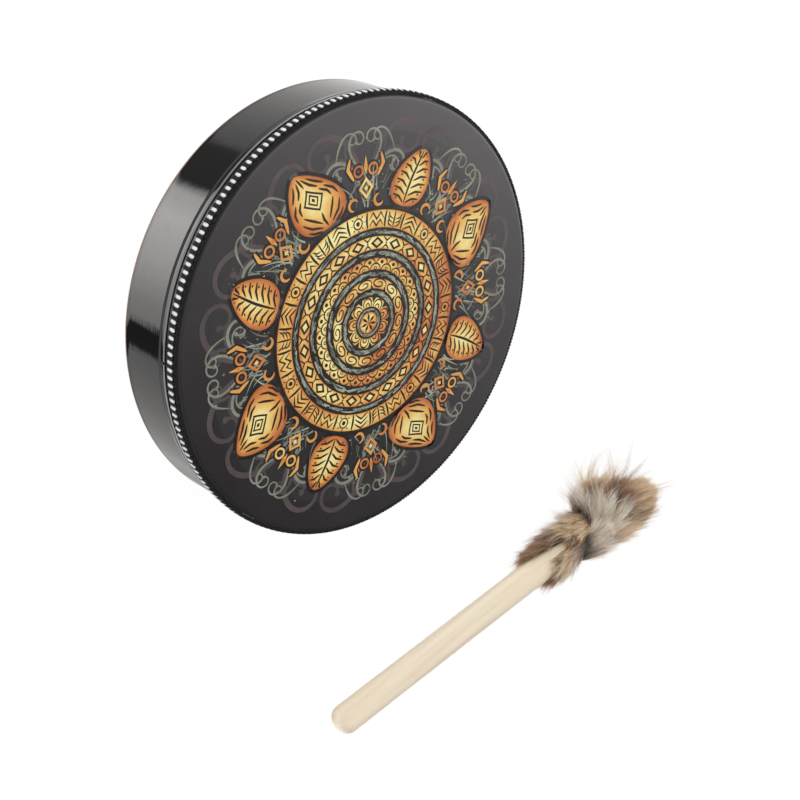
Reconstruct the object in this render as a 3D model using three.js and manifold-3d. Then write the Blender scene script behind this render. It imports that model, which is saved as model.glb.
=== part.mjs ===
import * as THREE from "three";
import { mergeVertices } from "three/addons/utils/BufferGeometryUtils.js";
import Module from "manifold-3d";

// Shaman drum and its fur-headed beater, in millimetres, +Z up.
// The drum lies on its open back with the head up, and the beater lies on the same surface.

// Shell and its laminate
const shellRadius = 127;
const shellHeight = 50.8;
const hoopWall = 7;
const hoopChamfer = 0.8;
const filmThickness = 0.5;
const filmBottom = 1.8;
const filmTopBelow = 11.5;
const filmRamp = 1.3;
const seatGap = 0.1;

// Printed membrane and its bearing edge
const headThickness = 0.5;
const edgeRound = 2;
const skirtLength = 14.6;
const crownWidth = 1.5;
const bevelDepth = 3.8;

// Braided trim round the head, placed by its distance below the playing face
const ribbonThickness = 0.6;
const ribbonWidth = 7.2;
const ribbonBelow = 0.8;
const cordWidth = 4.6;
const cordDepth = 1.3;
const cordBelow = 4.2;

// Tacks under the trim, and the pin in the laminate's upper edge
const tackCount = 24;
const tackBelow = 5.2;
const tackHeadRadius = 2.2;
const tackHeadThickness = 0.5;
const tackShankWidth = 1.2;
const tackLength = 6;
const pinAngle = -17.4;
const pinBelow = 12.8;
const pinHeadRadius = 1;
const pinHeadThickness = 0.6;
const pinShankRadius = 0.45;
const pinLength = 5.5;
const fastenerClearance = 0.3;

// Hand hold across the back
const armCount = 4;
const firstArmAngle = 45;
const holdHeight = 13;
const ringRadius = 17;
const ringWire = 2;
const eyeRadius = 5.5;
const eyeWire = 1.5;
const eyeStandOff = 2;
const eyeDepth = 5.5;
const thongRadius = 1.5;
const thongRunHalf = 1.9;
const thongWrapGap = 0.4;
const thongEase = 5;
const ferruleLength = 8;
const ferruleWall = 0.7;
const ferruleGap = 0.3;
const ferruleFromRing = 16;

// Beater
const stickRadius = 10.6;
const stickLength = 294;
const buttRound = 8;
const tipChamfer = 1;
const padRadius = 17;
const padStart = 257;
const padNose = 15;
const padRound = 9;
const furUnderPad = 2.3;
const furClearance = 0.3;
const furEdgeMean = 201;
const furEdgeSplit = 11;
const furEdgeLobes = 14;
const furEdgeThickness = 2.2;
const furCollarRadius = 21;
const furHeadRadius = 26.5;
const furHeadSwell = 1.5;
const furHeadRise = 0.14;
const furHeadFull = 0.3;
const furNose = 16;
const hideThickness = 1.9;
const tieTurns = 3;
const tiePitch = 2.1;
const tieCordRadius = 0.8;
const tieStation = 248;
const tieGrooveSlope = 3;

// Place of the beater beside the drum
const beaterDistance = 305;
const beaterButt = 68;
const splitFacing = -51;

// Facets
const ringSegments = 72;
const furSegments = 24;
const stickSegments = 28;

// Radii and heights that follow from the layers of the shell
const hoopOuter = shellRadius - filmThickness - seatGap;
const hoopInner = hoopOuter - hoopWall;
const filmLift = headThickness + seatGap;
const skirtOuter = hoopOuter + seatGap + headThickness;
const tackSeat = skirtOuter + seatGap;
const ribbonInner = tackSeat + tackHeadThickness + seatGap;
const ribbonOuter = ribbonInner + ribbonThickness;
const cordCentre = ribbonOuter + seatGap / 2 + cordDepth / 2;
const hoopTop = shellHeight - headThickness - seatGap;
const roundCentre = skirtOuter - edgeRound;
const roundHeight = shellHeight - edgeRound;
const filmTop = shellHeight - filmTopBelow;
const skirtBottom = shellHeight - skirtLength;
const ribbonTop = shellHeight - ribbonBelow;
const ribbonBottom = ribbonTop - ribbonWidth;
const cordHeight = shellHeight - cordBelow;
const tackHeight = shellHeight - tackBelow;
const pinHeight = shellHeight - pinBelow;

const wasm = await Module();
wasm.setup();

const degrees = Math.PI / 180;

// A closed mesh with shared vertices, without the empty triangles that poles leave.
function weld(geometry) {
  const bare = geometry.clone();
  bare.deleteAttribute("normal");
  bare.deleteAttribute("uv");
  const welded = mergeVertices(bare, 1e-4);
  const corners = welded.index.array;
  const kept = [];
  for (let i = 0; i < corners.length; i += 3) {
    const [a, b, c] = [corners[i], corners[i + 1], corners[i + 2]];
    if (a !== b && b !== c && c !== a) {
      kept.push(a, b, c);
    }
  }
  welded.setIndex(kept);
  return welded;
}

// Six times the signed volume of a welded mesh, above zero when its faces point out.
function signedVolume(geometry) {
  const place = geometry.attributes.position;
  const corners = geometry.index.array;
  const [a, b, c] = [new THREE.Vector3(), new THREE.Vector3(), new THREE.Vector3()];
  let sum = 0;
  for (let i = 0; i < corners.length; i += 3) {
    a.fromBufferAttribute(place, corners[i]);
    b.fromBufferAttribute(place, corners[i + 1]);
    c.fromBufferAttribute(place, corners[i + 2]);
    sum += a.dot(b.cross(c));
  }
  return sum;
}

// The welded mesh with its faces pointing out.
function outward(geometry) {
  const welded = weld(geometry);
  if (signedVolume(welded) < 0) {
    welded.setIndex(Array.from(welded.index.array).reverse());
  }
  return welded;
}

function toSolid(geometry) {
  const welded = outward(geometry);
  const mesh = new wasm.Mesh({
    numProp: 3,
    vertProperties: Float32Array.from(welded.attributes.position.array),
    triVerts: Uint32Array.from(welded.index.array),
  });
  return new wasm.Manifold(mesh);
}

function toGeometry(solid) {
  const mesh = solid.getMesh();
  const geometry = new THREE.BufferGeometry();
  geometry.setAttribute("position", new THREE.BufferAttribute(mesh.vertProperties, 3));
  geometry.setIndex(new THREE.BufferAttribute(mesh.triVerts, 1));
  return geometry;
}

function subtractAll(geometry, cutters) {
  let solid = toSolid(geometry);
  for (const cutter of cutters) {
    solid = solid.subtract(toSolid(cutter));
  }
  return toGeometry(solid);
}

function joined(first, second) {
  return toGeometry(toSolid(first).add(toSolid(second)));
}

// Profile points [radius, height] turned about +Z.
function turned(profile, segments) {
  const points = profile.map(([radius, height]) => new THREE.Vector2(radius, height));
  const geometry = new THREE.LatheGeometry(points, segments);
  geometry.rotateX(Math.PI / 2);
  return outward(geometry);
}

// A profile that closes on itself, turned into a ring about +Z.
function turnedRing(profile, segments) {
  return turned([...profile, profile[0]], segments);
}

// Points of an arc in a profile, from one angle to another in degrees.
function arc(centre, height, radius, from, to, steps) {
  const points = [];
  for (let i = 0; i <= steps; i += 1) {
    const angle = (from + ((to - from) * i) / steps) * degrees;
    points.push([centre + radius * Math.cos(angle), height + radius * Math.sin(angle)]);
  }
  return points;
}

function finish(color, roughness, metalness) {
  return new THREE.MeshStandardMaterial({ color, roughness, metalness });
}

const birch = finish("#d8bd92", 0.6, 0);
const blackGloss = finish("#09090b", 0.1, 0);
const printedHead = finish("#2b2628", 0.5, 0);
const blackBraid = finish("#0d0d0e", 0.85, 0);
const silverCord = finish("#c6c7cb", 0.45, 0.3);
const blackSteel = finish("#16161a", 0.4, 0.8);
const brightSteel = finish("#bfc1c4", 0.25, 1);
const darkThong = finish("#1d1713", 0.7, 0);
const paleBeech = finish("#e8d8be", 0.55, 0);
const greyFelt = finish("#8a8580", 0.95, 0);
const greyFur = finish("#8f7c68", 0.95, 0);

function piece(name, geometry, material) {
  const mesh = new THREE.Mesh(geometry, material);
  mesh.name = name;
  return mesh;
}

// The same piece at an angle about the drum's axis, with its local +X pointing outwards.
function pieceAt(name, geometry, material, angle) {
  const mesh = piece(name, geometry, material);
  mesh.rotation.z = angle * degrees;
  return mesh;
}

const tackAngles = Array.from({ length: tackCount }, (_, i) => (360 * i) / tackCount);
const armAngles = Array.from({ length: armCount }, (_, i) => firstArmAngle + (360 * i) / armCount);

// A hole of square section through the layers of the wall, for one tack.
function tackHole(angle) {
  const width = tackShankWidth + 2 * fastenerClearance;
  const bottom = tackSeat - tackLength - fastenerClearance;
  const length = ribbonOuter - bottom;
  const hole = new THREE.BoxGeometry(length, width, width);
  hole.translate(bottom + length / 2, 0, tackHeight);
  hole.rotateZ(angle * degrees);
  return hole;
}

function pinHole() {
  const bottom = shellRadius - pinLength - fastenerClearance;
  const length = ribbonOuter - bottom;
  const hole = new THREE.CylinderGeometry(
    pinShankRadius + fastenerClearance, pinShankRadius + fastenerClearance, length, 10,
  );
  hole.rotateZ(Math.PI / 2);
  hole.translate(bottom + length / 2, 0, pinHeight);
  hole.rotateZ(pinAngle * degrees);
  return hole;
}

function eyeHole(angle) {
  const length = eyeDepth + fastenerClearance + hoopWall;
  const radius = eyeWire + fastenerClearance;
  const hole = new THREE.CylinderGeometry(radius, radius, length, 12);
  hole.rotateZ(Math.PI / 2);
  hole.translate(hoopInner + eyeDepth + fastenerClearance - length / 2, 0, holdHeight);
  hole.rotateZ(angle * degrees);
  return hole;
}

// Plywood ring with a rounded, bevelled bearing edge at the top.
function makeHoop() {
  const crownInner = roundCentre - crownWidth;
  const profile = [
    [hoopInner, hoopChamfer],
    [hoopInner + hoopChamfer, 0],
    [hoopOuter - hoopChamfer, 0],
    [hoopOuter, hoopChamfer],
    ...arc(roundCentre, roundHeight, hoopOuter - roundCentre, 0, 90, 3),
    [crownInner, hoopTop],
    [hoopInner, hoopTop - bevelDepth],
  ];
  const holes = [...tackAngles.map(tackHole), pinHole(), ...armAngles.map(eyeHole)];
  return subtractAll(turnedRing(profile, ringSegments), holes);
}

// Glossy laminate round the wall. Its upper edge climbs over the lower edge of the skirt.
function makeFilm() {
  const inner = hoopOuter + seatGap;
  const rampTop = skirtBottom - seatGap;
  const profile = [
    [inner, filmBottom],
    [inner + filmThickness, filmBottom],
    [inner + filmThickness, rampTop - filmRamp],
    [inner + filmThickness + filmLift, rampTop],
    [inner + filmThickness + filmLift, filmTop],
    [inner + filmLift, filmTop],
    [inner + filmLift, rampTop],
    [inner, rampTop - filmRamp],
  ];
  return subtractAll(turnedRing(profile, ringSegments), [pinHole()]);
}

// Membrane: a flat disc, a rounded shoulder and a skirt down the wall.
function makeHead() {
  const under = edgeRound - headThickness;
  const profile = [
    [0, shellHeight - headThickness],
    ...arc(roundCentre, roundHeight, under, 90, 0, 3),
    [skirtOuter - headThickness, skirtBottom],
    [skirtOuter, skirtBottom],
    ...arc(roundCentre, roundHeight, edgeRound, 0, 90, 4),
    [0, shellHeight],
  ];
  return subtractAll(turned(profile, ringSegments), [...tackAngles.map(tackHole), pinHole()]);
}

// Flat black braid with a thinner upper edge.
function makeRibbon() {
  const edge = ribbonThickness / 2;
  const profile = [
    [ribbonInner, ribbonBottom],
    [ribbonOuter - edge, ribbonBottom],
    [ribbonOuter, ribbonBottom + edge],
    [ribbonOuter, ribbonTop - 2 * edge],
    [ribbonOuter - edge, ribbonTop],
    [ribbonInner, ribbonTop],
  ];
  return turnedRing(profile, ringSegments);
}

// Wrapped cord of oval section that crowns the braid.
function makeTrimCord() {
  const profile = [];
  const sides = 10;
  for (let i = 0; i < sides; i += 1) {
    const angle = (2 * Math.PI * i) / sides;
    profile.push([
      cordCentre + (cordDepth / 2) * Math.cos(angle),
      cordHeight + (cordWidth / 2) * Math.sin(angle),
    ]);
  }
  return turnedRing(profile, ringSegments);
}

// Cut tack: a low domed head and a square shank that tapers to its point.
function makeTack() {
  const dome = turned([
    [0, 0],
    [tackHeadRadius, 0],
    [tackHeadRadius * 0.8, tackHeadThickness * 0.7],
    [0, tackHeadThickness],
  ], 10);
  const shank = new THREE.ConeGeometry(tackShankWidth * Math.SQRT1_2, tackLength, 4);
  shank.rotateX(-Math.PI / 2);
  shank.rotateZ(Math.PI / 4);
  shank.translate(0, 0, tackHeadThickness * 0.4 - tackLength / 2);
  const tack = joined(dome, shank);
  tack.rotateY(Math.PI / 2);
  tack.translate(tackSeat, 0, tackHeight);
  return tack;
}

// Round-headed pin through the laminate's upper edge.
function makePin() {
  const seat = shellRadius + filmLift;
  const pin = turned([
    [0, -pinLength],
    [pinShankRadius, -pinLength + 2 * pinShankRadius],
    [pinShankRadius, 0],
    [pinHeadRadius, 0],
    [pinHeadRadius * 0.75, pinHeadThickness * 0.7],
    [0, pinHeadThickness],
  ], 10);
  pin.rotateY(Math.PI / 2);
  pin.translate(seat, 0, pinHeight);
  return pin;
}

function makeRing() {
  const ring = new THREE.TorusGeometry(ringRadius, ringWire, 8, 40);
  ring.translate(0, 0, holdHeight);
  return outward(ring);
}

const eyeCentre = hoopInner - eyeStandOff - eyeRadius - eyeWire;

// Screw eye: a wire ring lying level, with its pointed shank in the wall.
function makeEye() {
  const loop = new THREE.TorusGeometry(eyeRadius, eyeWire, 8, 20);
  loop.translate(eyeCentre, 0, holdHeight);
  const tip = hoopInner + eyeDepth;
  const shank = turned([
    [0, eyeCentre + eyeRadius],
    [eyeWire * 0.95, eyeCentre + eyeRadius],
    [eyeWire * 0.95, tip - eyeWire],
    [0, tip],
  ], 10);
  shank.rotateY(Math.PI / 2);
  shank.translate(0, 0, holdHeight);
  return joined(loop, shank);
}

// Height of a run as it eases from its wrap to the straight part, t from 0 to 1.
function eased(fromHeight, slope, toHeight, t) {
  const keep = 1 - t * t * (3 - 2 * t);
  const turn = t * (1 - t) * (1 - t);
  return fromHeight * keep + slope * turn + toHeight * (1 - keep);
}

// Half of a thong's end: the wrap round a wire and the easing to the straight run, as [along, up].
function wrapHalf(wireRadius) {
  const wrap = wireRadius + thongRadius + thongWrapGap;
  const lastAngle = 60;
  const points = arc(0, 0, wrap, 180, lastAngle, 4);
  const [endAlong, endUp] = points[points.length - 1];
  const slope = -thongEase / Math.tan(lastAngle * degrees);
  for (const t of [1 / 3, 2 / 3, 1]) {
    points.push([endAlong + thongEase * t, eased(endUp, slope, thongRunHalf, t)]);
  }
  return points;
}

// Endless thong in the XZ plane, from the wire of the hand ring to the wire of the eye.
function thongPath() {
  const ringEnd = wrapHalf(ringWire).map(([along, up]) => [ringRadius + along, up]);
  const eyeWireAt = eyeCentre - eyeRadius;
  const eyeEnd = wrapHalf(eyeWire).map(([along, up]) => [eyeWireAt - along, up]).reverse();
  const upper = [...ringEnd, ...eyeEnd];
  const lower = upper.slice(1, -1).reverse().map(([along, up]) => [along, -up]);
  return [...upper, ...lower].map(([along, up]) => new THREE.Vector3(along, 0, holdHeight + up));
}

// Round tube along a closed path in the XZ plane.
function closedTube(path, radius, sides) {
  const positions = [];
  const corners = [];
  const count = path.length;
  for (let i = 0; i < count; i += 1) {
    const along = new THREE.Vector3().subVectors(path[(i + 1) % count], path[(i + count - 1) % count]);
    const up = new THREE.Vector3(-along.z, 0, along.x).normalize();
    for (let k = 0; k < sides; k += 1) {
      const angle = (2 * Math.PI * (k + 0.5)) / sides;
      const point = path[i].clone().addScaledVector(up, radius * Math.cos(angle));
      point.y += radius * Math.sin(angle);
      positions.push(point.x, point.y, point.z);
      const [a, b] = [i * sides + k, i * sides + ((k + 1) % sides)];
      const [c, d] = [((i + 1) % count) * sides + k, ((i + 1) % count) * sides + ((k + 1) % sides)];
      corners.push(a, b, c, b, d, c);
    }
  }
  const geometry = new THREE.BufferGeometry();
  geometry.setAttribute("position", new THREE.Float32BufferAttribute(positions, 3));
  geometry.setIndex(corners);
  return outward(geometry);
}

// Outline with round ends, centred on zero and long along X.
function stadium(target, halfLength, halfWidth) {
  const straight = halfLength - halfWidth;
  target.moveTo(-straight, -halfWidth);
  target.lineTo(straight, -halfWidth);
  target.absarc(straight, 0, halfWidth, -Math.PI / 2, Math.PI / 2, false);
  target.lineTo(-straight, halfWidth);
  target.absarc(-straight, 0, halfWidth, Math.PI / 2, (3 * Math.PI) / 2, false);
  return target;
}

// Pressed ferrule that holds the two runs of a thong together.
function makeFerrule() {
  const halfWidth = thongRadius + ferruleGap;
  const halfLength = thongRunHalf + halfWidth;
  const outline = stadium(new THREE.Shape(), halfLength + ferruleWall, halfWidth + ferruleWall);
  outline.holes.push(stadium(new THREE.Path(), halfLength, halfWidth));
  const sleeve = new THREE.ExtrudeGeometry(outline, {
    depth: ferruleLength, bevelEnabled: false, curveSegments: 7,
  });
  sleeve.rotateY(Math.PI / 2);
  sleeve.translate(ringRadius + ferruleFromRing, 0, holdHeight);
  return outward(sleeve);
}

// Axis height and slope of the lying beater: butt on the surface, pad held up by the fur below it.
const padEnd = stickLength + padNose;
const padMiddle = (padStart + padEnd) / 2;
const headAxisHeight = padRadius + furClearance + furUnderPad;
const tilt = Math.asin((headAxisHeight - stickRadius) / (padMiddle - buttRound));
const buttRimRadius = stickRadius - buttRound;
const buttAxisHeight = buttRound + buttRimRadius * Math.cos(tilt) - buttRound * Math.sin(tilt);

function makeStick() {
  return turned([
    [0, 0],
    ...arc(stickRadius - buttRound, buttRound, buttRound, -90, 0, 6),
    [stickRadius, stickLength - tipChamfer],
    [stickRadius - tipChamfer, stickLength],
    [0, stickLength],
  ], stickSegments);
}

// Felt padding with a blind bore for the stick.
function makePad() {
  const bore = stickRadius + furClearance;
  return turned([
    [0, stickLength + furClearance],
    [bore, stickLength + furClearance],
    [bore, padStart],
    [padRadius, padStart],
    ...arc(padRadius - padRound, padEnd - padRound, padRound, 0, 90, 3),
    [0, padEnd],
  ], stickSegments);
}

const grooveFloor = stickRadius + furClearance + hideThickness;
const tieRadius = grooveFloor + furClearance + tieCordRadius;
const grooveHalf = (tieTurns * tiePitch) / 2 + tieCordRadius + furClearance;
const furEnd = padEnd + furNose;

// Outer radius of the fur past the tie, t from 0 at the groove to 1 at the tip: a quick rise, then
// a rounded end.
function headRadiusAt(t) {
  const rise = Math.sqrt(Math.min(1, t / furHeadRise));
  const past = Math.max(0, (t - furHeadFull) / (1 - furHeadFull));
  const fall = Math.sqrt(1 - Math.pow(past, 2.2));
  return (grooveFloor + (furHeadRadius - grooveFloor) * rise) * fall;
}

// Fur wrap as [radius, station] from the bottom of its pocket, round its edge, to its tip.
function furProfile(angle) {
  const facing = angle - splitFacing * degrees;
  const edge = furEdgeMean + furEdgeSplit * Math.cos(facing) + furEdgeLobes * Math.cos(2 * facing);
  const bore = stickRadius + furClearance;
  const pocket = padRadius + furClearance;
  const grooveStart = tieStation - grooveHalf;
  const grooveEnd = tieStation + grooveHalf;
  const profile = [
    [0, padEnd + furClearance],
    ...arc(pocket - padRound, padEnd + furClearance - padRound, padRound, 90, 0, 3),
    [pocket, padStart - furClearance],
    [bore, padStart - furClearance],
    [bore, edge],
    [bore + furEdgeThickness / 2, edge - furEdgeThickness / 2],
  ];
  for (const t of [0, 0.2, 0.45, 0.75, 1]) {
    const station = edge + (grooveStart - tieGrooveSlope - edge) * t;
    const start = bore + furEdgeThickness;
    profile.push([start + (furCollarRadius - start) * Math.sin((t * Math.PI) / 2), station]);
  }
  profile.push([grooveFloor, grooveStart], [grooveFloor, grooveEnd]);
  const swell = 1 + (furHeadSwell / furHeadRadius) * Math.sin(facing);
  for (const t of [0.06, 0.14, 0.24, 0.36, 0.48, 0.6, 0.71, 0.81, 0.89, 0.95]) {
    const station = grooveEnd + (furEnd - grooveEnd) * t;
    profile.push([headRadiusAt(t) * swell, station]);
  }
  profile.push([0, furEnd]);
  return profile;
}

// Grid turned about +Z with a profile that changes with the angle, flattened where it meets
// the surface that the beater lies on. Local +X points up.
function makeFur() {
  const positions = [];
  const corners = [];
  const count = furProfile(0).length;
  for (let i = 0; i < furSegments; i += 1) {
    const angle = (2 * Math.PI * i) / furSegments;
    furProfile(angle).forEach(([radius, station]) => {
      const floor = -(buttAxisHeight + station * Math.sin(tilt)) / Math.cos(tilt);
      const up = Math.max(radius * Math.cos(angle), floor);
      positions.push(up, radius * Math.sin(angle), station);
    });
  }
  for (let i = 0; i < furSegments; i += 1) {
    const next = ((i + 1) % furSegments) * count;
    for (let k = 0; k < count - 1; k += 1) {
      const [a, b, c, d] = [i * count + k, i * count + k + 1, next + k, next + k + 1];
      corners.push(a, b, c, b, d, c);
    }
  }
  const geometry = new THREE.BufferGeometry();
  geometry.setAttribute("position", new THREE.Float32BufferAttribute(positions, 3));
  geometry.setIndex(corners);
  return outward(geometry);
}

// Helix of the tie cord round the neck of the fur.
class TieHelix extends THREE.Curve {
  getPoint(t, target = new THREE.Vector3()) {
    const angle = 2 * Math.PI * tieTurns * t;
    const station = tieStation + tieTurns * tiePitch * (t - 0.5);
    return target.set(tieRadius * Math.cos(angle), tieRadius * Math.sin(angle), station);
  }
}

function makeTie() {
  const section = new THREE.Shape();
  for (let k = 0; k < 6; k += 1) {
    const angle = (Math.PI * k) / 3;
    const [x, y] = [tieCordRadius * Math.cos(angle), tieCordRadius * Math.sin(angle)];
    if (k === 0) {
      section.moveTo(x, y);
    } else {
      section.lineTo(x, y);
    }
  }
  section.closePath();
  return outward(new THREE.ExtrudeGeometry(section, {
    steps: 24 * tieTurns, extrudePath: new TieHelix(), bevelEnabled: false,
  }));
}

// Least gap of the winding to itself, between points at least half a turn apart.
function tieGap() {
  const points = new TieHelix().getPoints(24 * tieTurns);
  let least = Infinity;
  points.forEach((point, i) => {
    points.slice(i + 12).forEach((other) => {
      least = Math.min(least, point.distanceTo(other));
    });
  });
  return least - 2 * tieCordRadius;
}

function buildDrum() {
  const drum = new THREE.Group();
  drum.add(
    piece("shell_hoop", makeHoop(), birch),
    piece("shell_film", makeFilm(), blackGloss),
    piece("drumhead", makeHead(), printedHead),
    piece("trim_ribbon", makeRibbon(), blackBraid),
    piece("trim_cord", makeTrimCord(), silverCord),
    pieceAt("film_pin", makePin(), blackSteel, pinAngle),
    piece("hand_ring", makeRing(), brightSteel),
  );
  tackAngles.forEach((angle, i) => {
    const name = `tack_${String(i + 1).padStart(2, "0")}`;
    drum.add(pieceAt(name, makeTack(), blackSteel, angle));
  });
  armAngles.forEach((angle, i) => {
    drum.add(
      pieceAt(`screw_eye_${i + 1}`, makeEye(), brightSteel, angle),
      pieceAt(`thong_${i + 1}`, closedTube(thongPath(), thongRadius, 8), darkThong, angle),
      pieceAt(`thong_ferrule_${i + 1}`, makeFerrule(), brightSteel, angle),
    );
  });
  return drum;
}

// Pieces of the beater lie along local +Z, butt first, and the group lays them down.
function buildBeater() {
  const beater = new THREE.Group();
  beater.add(
    piece("beater_stick", makeStick(), paleBeech),
    piece("pad_core", makePad(), greyFelt),
    piece("fur_wrap", makeFur(), greyFur),
    piece("tie_cord", makeTie(), blackBraid),
  );
  beater.rotation.y = -(Math.PI / 2 - tilt);
  beater.position.set(beaterButt, beaterDistance, buttAxisHeight);
  return beater;
}

const shamanDrum = new THREE.Group();
shamanDrum.add(buildDrum(), buildBeater());

// The origin is the middle of the set's outer box, on the surface that it lies on.
shamanDrum.updateMatrixWorld(true);
const bounds = new THREE.Box3().setFromObject(shamanDrum, true);
const middle = bounds.getCenter(new THREE.Vector3());
shamanDrum.position.set(-middle.x, -middle.y, -bounds.min.z);

console.log(`tie cord: least gap between turns ${tieGap().toFixed(2)} mm`);

export default shamanDrum;
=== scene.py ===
import math
import bmesh
import bpy
import numpy as np
from mathutils import Matrix, Vector


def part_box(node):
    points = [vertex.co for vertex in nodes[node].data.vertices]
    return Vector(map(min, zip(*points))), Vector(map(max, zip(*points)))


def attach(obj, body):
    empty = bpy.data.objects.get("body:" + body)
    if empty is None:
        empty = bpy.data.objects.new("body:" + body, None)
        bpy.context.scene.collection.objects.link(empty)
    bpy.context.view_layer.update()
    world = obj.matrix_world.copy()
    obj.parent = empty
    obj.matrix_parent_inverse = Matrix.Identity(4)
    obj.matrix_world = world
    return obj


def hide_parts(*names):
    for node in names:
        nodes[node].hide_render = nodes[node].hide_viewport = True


# Shaman drum on its open back with its fur-headed beater beside it.
# Shapes are worked out in millimetres and written to the meshes in metres.
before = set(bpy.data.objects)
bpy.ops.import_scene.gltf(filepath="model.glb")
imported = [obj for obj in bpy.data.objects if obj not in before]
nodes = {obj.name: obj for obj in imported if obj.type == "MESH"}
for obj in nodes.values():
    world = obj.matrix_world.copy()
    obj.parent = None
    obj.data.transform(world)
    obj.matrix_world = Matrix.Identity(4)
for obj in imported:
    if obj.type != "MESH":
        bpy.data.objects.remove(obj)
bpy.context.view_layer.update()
scene = bpy.context.scene
scene.view_settings.view_transform = "Standard"
print("frame loaded with", len(nodes), "nodes")

filmLow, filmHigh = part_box("shell_film")
drumAt = np.array([(filmLow.x + filmHigh.x) * 500, (filmLow.y + filmHigh.y) * 500, 0.0])
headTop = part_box("drumhead")[1].z * 1000


# The camera was fitted to the two rim circles of the drum. Its reach is in millimetres.
camera = {
    "reach": (380.736, -392.083, 581.34),
    "right": (-0.72081969, 0.16555497, 0.67306056),
    "up": (-0.49060634, -0.80781208, -0.32671861),
    "forward": (-0.48961657, 0.56571299, -0.66350918),
    "lens": 60.89,
    "sensor": 36.0,
}


# The camera stands at its reach from the drum's centre and looks along forward.
def makeCamera(look):
    lens = bpy.data.cameras.new("camera")
    lens.lens = look["lens"]
    lens.sensor_width = look["sensor"]
    lens.clip_start = 0.01
    lens.clip_end = 20.0
    holder = bpy.data.objects.new("camera", lens)
    scene.collection.objects.link(holder)
    back = -Vector(look["forward"])
    turn = Matrix((look["right"], look["up"], back)).transposed()
    holder.matrix_world = Matrix.Translation((drumAt + look["reach"]) * 0.001) @ turn.to_4x4()
    scene.camera = holder


makeCamera(camera)


# Quads of one grid: i runs along the first parameter and j along the second.
def gridFaces(countU, countV, wrapU=False, wrapV=False):
    i = np.arange(countU if wrapU else countU - 1)[:, None]
    j = np.arange(countV if wrapV else countV - 1)[None, :]
    nextI = (i + 1) % countU
    nextJ = (j + 1) % countV
    corners = [i * countV + j, nextI * countV + j, nextI * countV + nextJ, i * countV + nextJ]
    return np.stack(corners, -1).reshape(-1, 4)


# The same grid repeated for a stack of copies, each with its own vertices.
def repeatedFaces(faces, copies, step):
    return (np.arange(copies)[:, None, None] * step + faces[None]).reshape(-1, faces.shape[1])


# Points in millimetres and face arrays of any side count become one mesh object.
def meshObject(name, points, faceSets, smooth=True):
    mesh = bpy.data.meshes.new(name)
    flat = np.concatenate([np.asarray(f).ravel() for f in faceSets]).astype(np.int32)
    sides = np.concatenate([np.full(len(f), np.asarray(f).shape[1]) for f in faceSets])
    starts = np.concatenate([[0], np.cumsum(sides)[:-1]]).astype(np.int32)
    mesh.vertices.add(len(points))
    mesh.vertices.foreach_set("co", (np.asarray(points) * 0.001).astype(np.float32).ravel())
    mesh.loops.add(len(flat))
    mesh.loops.foreach_set("vertex_index", flat)
    mesh.polygons.add(len(sides))
    mesh.polygons.foreach_set("loop_start", starts)
    mesh.update(calc_edges=True)
    mesh.polygons.foreach_set("use_smooth", np.full(len(sides), smooth))
    thing = bpy.data.objects.new(name, mesh)
    scene.collection.objects.link(thing)
    return thing


# Gives a piece its finish, its body, its slot and the nodes that it stands for.
def place(thing, material, body, stoodFor=()):
    thing.data.materials.append(material)
    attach(thing, body)
    if stoodFor:
        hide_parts(*stoodFor)


# UV in metres from the two parameters of a grid whose corners are not shared at the seams.
def writeUv(thing, uByLoop, vByLoop):
    layer = thing.data.uv_layers.new(name="UVMap")
    layer.data.foreach_set("uv", np.stack([uByLoop, vByLoop], -1).astype(np.float32).ravel())


# Values at the vertices that the materials read by name.
def writeValue(thing, name, values):
    layer = thing.data.attributes.new(name, "FLOAT", "POINT")
    layer.data.foreach_set("value", np.asarray(values, np.float32).ravel())


# Colours at the vertices, all opaque.
def writeColour(thing, name, colours):
    layer = thing.data.color_attributes.new(name, "FLOAT_COLOR", "POINT")
    full = np.concatenate([colours, np.ones((len(colours), 1))], 1)
    layer.data.foreach_set("color", full.astype(np.float32).ravel())


# Joins doubled vertices at poles and drops the faces that they leave empty.
def closePoles(thing, reach=1e-6):
    work = bmesh.new()
    work.from_mesh(thing.data)
    bmesh.ops.remove_doubles(work, verts=work.verts, dist=reach)
    bmesh.ops.dissolve_degenerate(work, edges=work.edges, dist=reach)
    work.to_mesh(thing.data)
    work.free()
    return thing


# A closed profile whose corners [radius, height, roundness] become short curves, with a support
# point on each side so that flat parts stay flat when shaded.
def softProfile(corners, steps=4):
    corners = np.array(corners, float)
    points, rounding = corners[:, :2], corners[:, 2]
    before, after = np.roll(points, 1, 0), np.roll(points, -1, 0)
    lengthIn = np.linalg.norm(before - points, axis=1)
    lengthOut = np.linalg.norm(after - points, axis=1)
    reach = np.minimum(rounding, np.minimum(lengthIn, lengthOut) * 0.45)
    towardIn = (before - points) / lengthIn[:, None]
    towardOut = (after - points) / lengthOut[:, None]
    t = np.linspace(0, 1, steps + 1)[None, :, None]
    start = (points + towardIn * reach[:, None])[:, None]
    end = (points + towardOut * reach[:, None])[:, None]
    curve = (1 - t) ** 2 * start + 2 * t * (1 - t) * points[:, None] + t ** 2 * end
    extraIn = points + towardIn * np.minimum(reach * 1.35, lengthIn * 0.49)[:, None]
    extraOut = points + towardOut * np.minimum(reach * 1.35, lengthOut * 0.49)[:, None]
    return np.concatenate([extraIn[:, None], curve, extraOut[:, None]], 1).reshape(-1, 2)


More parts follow.
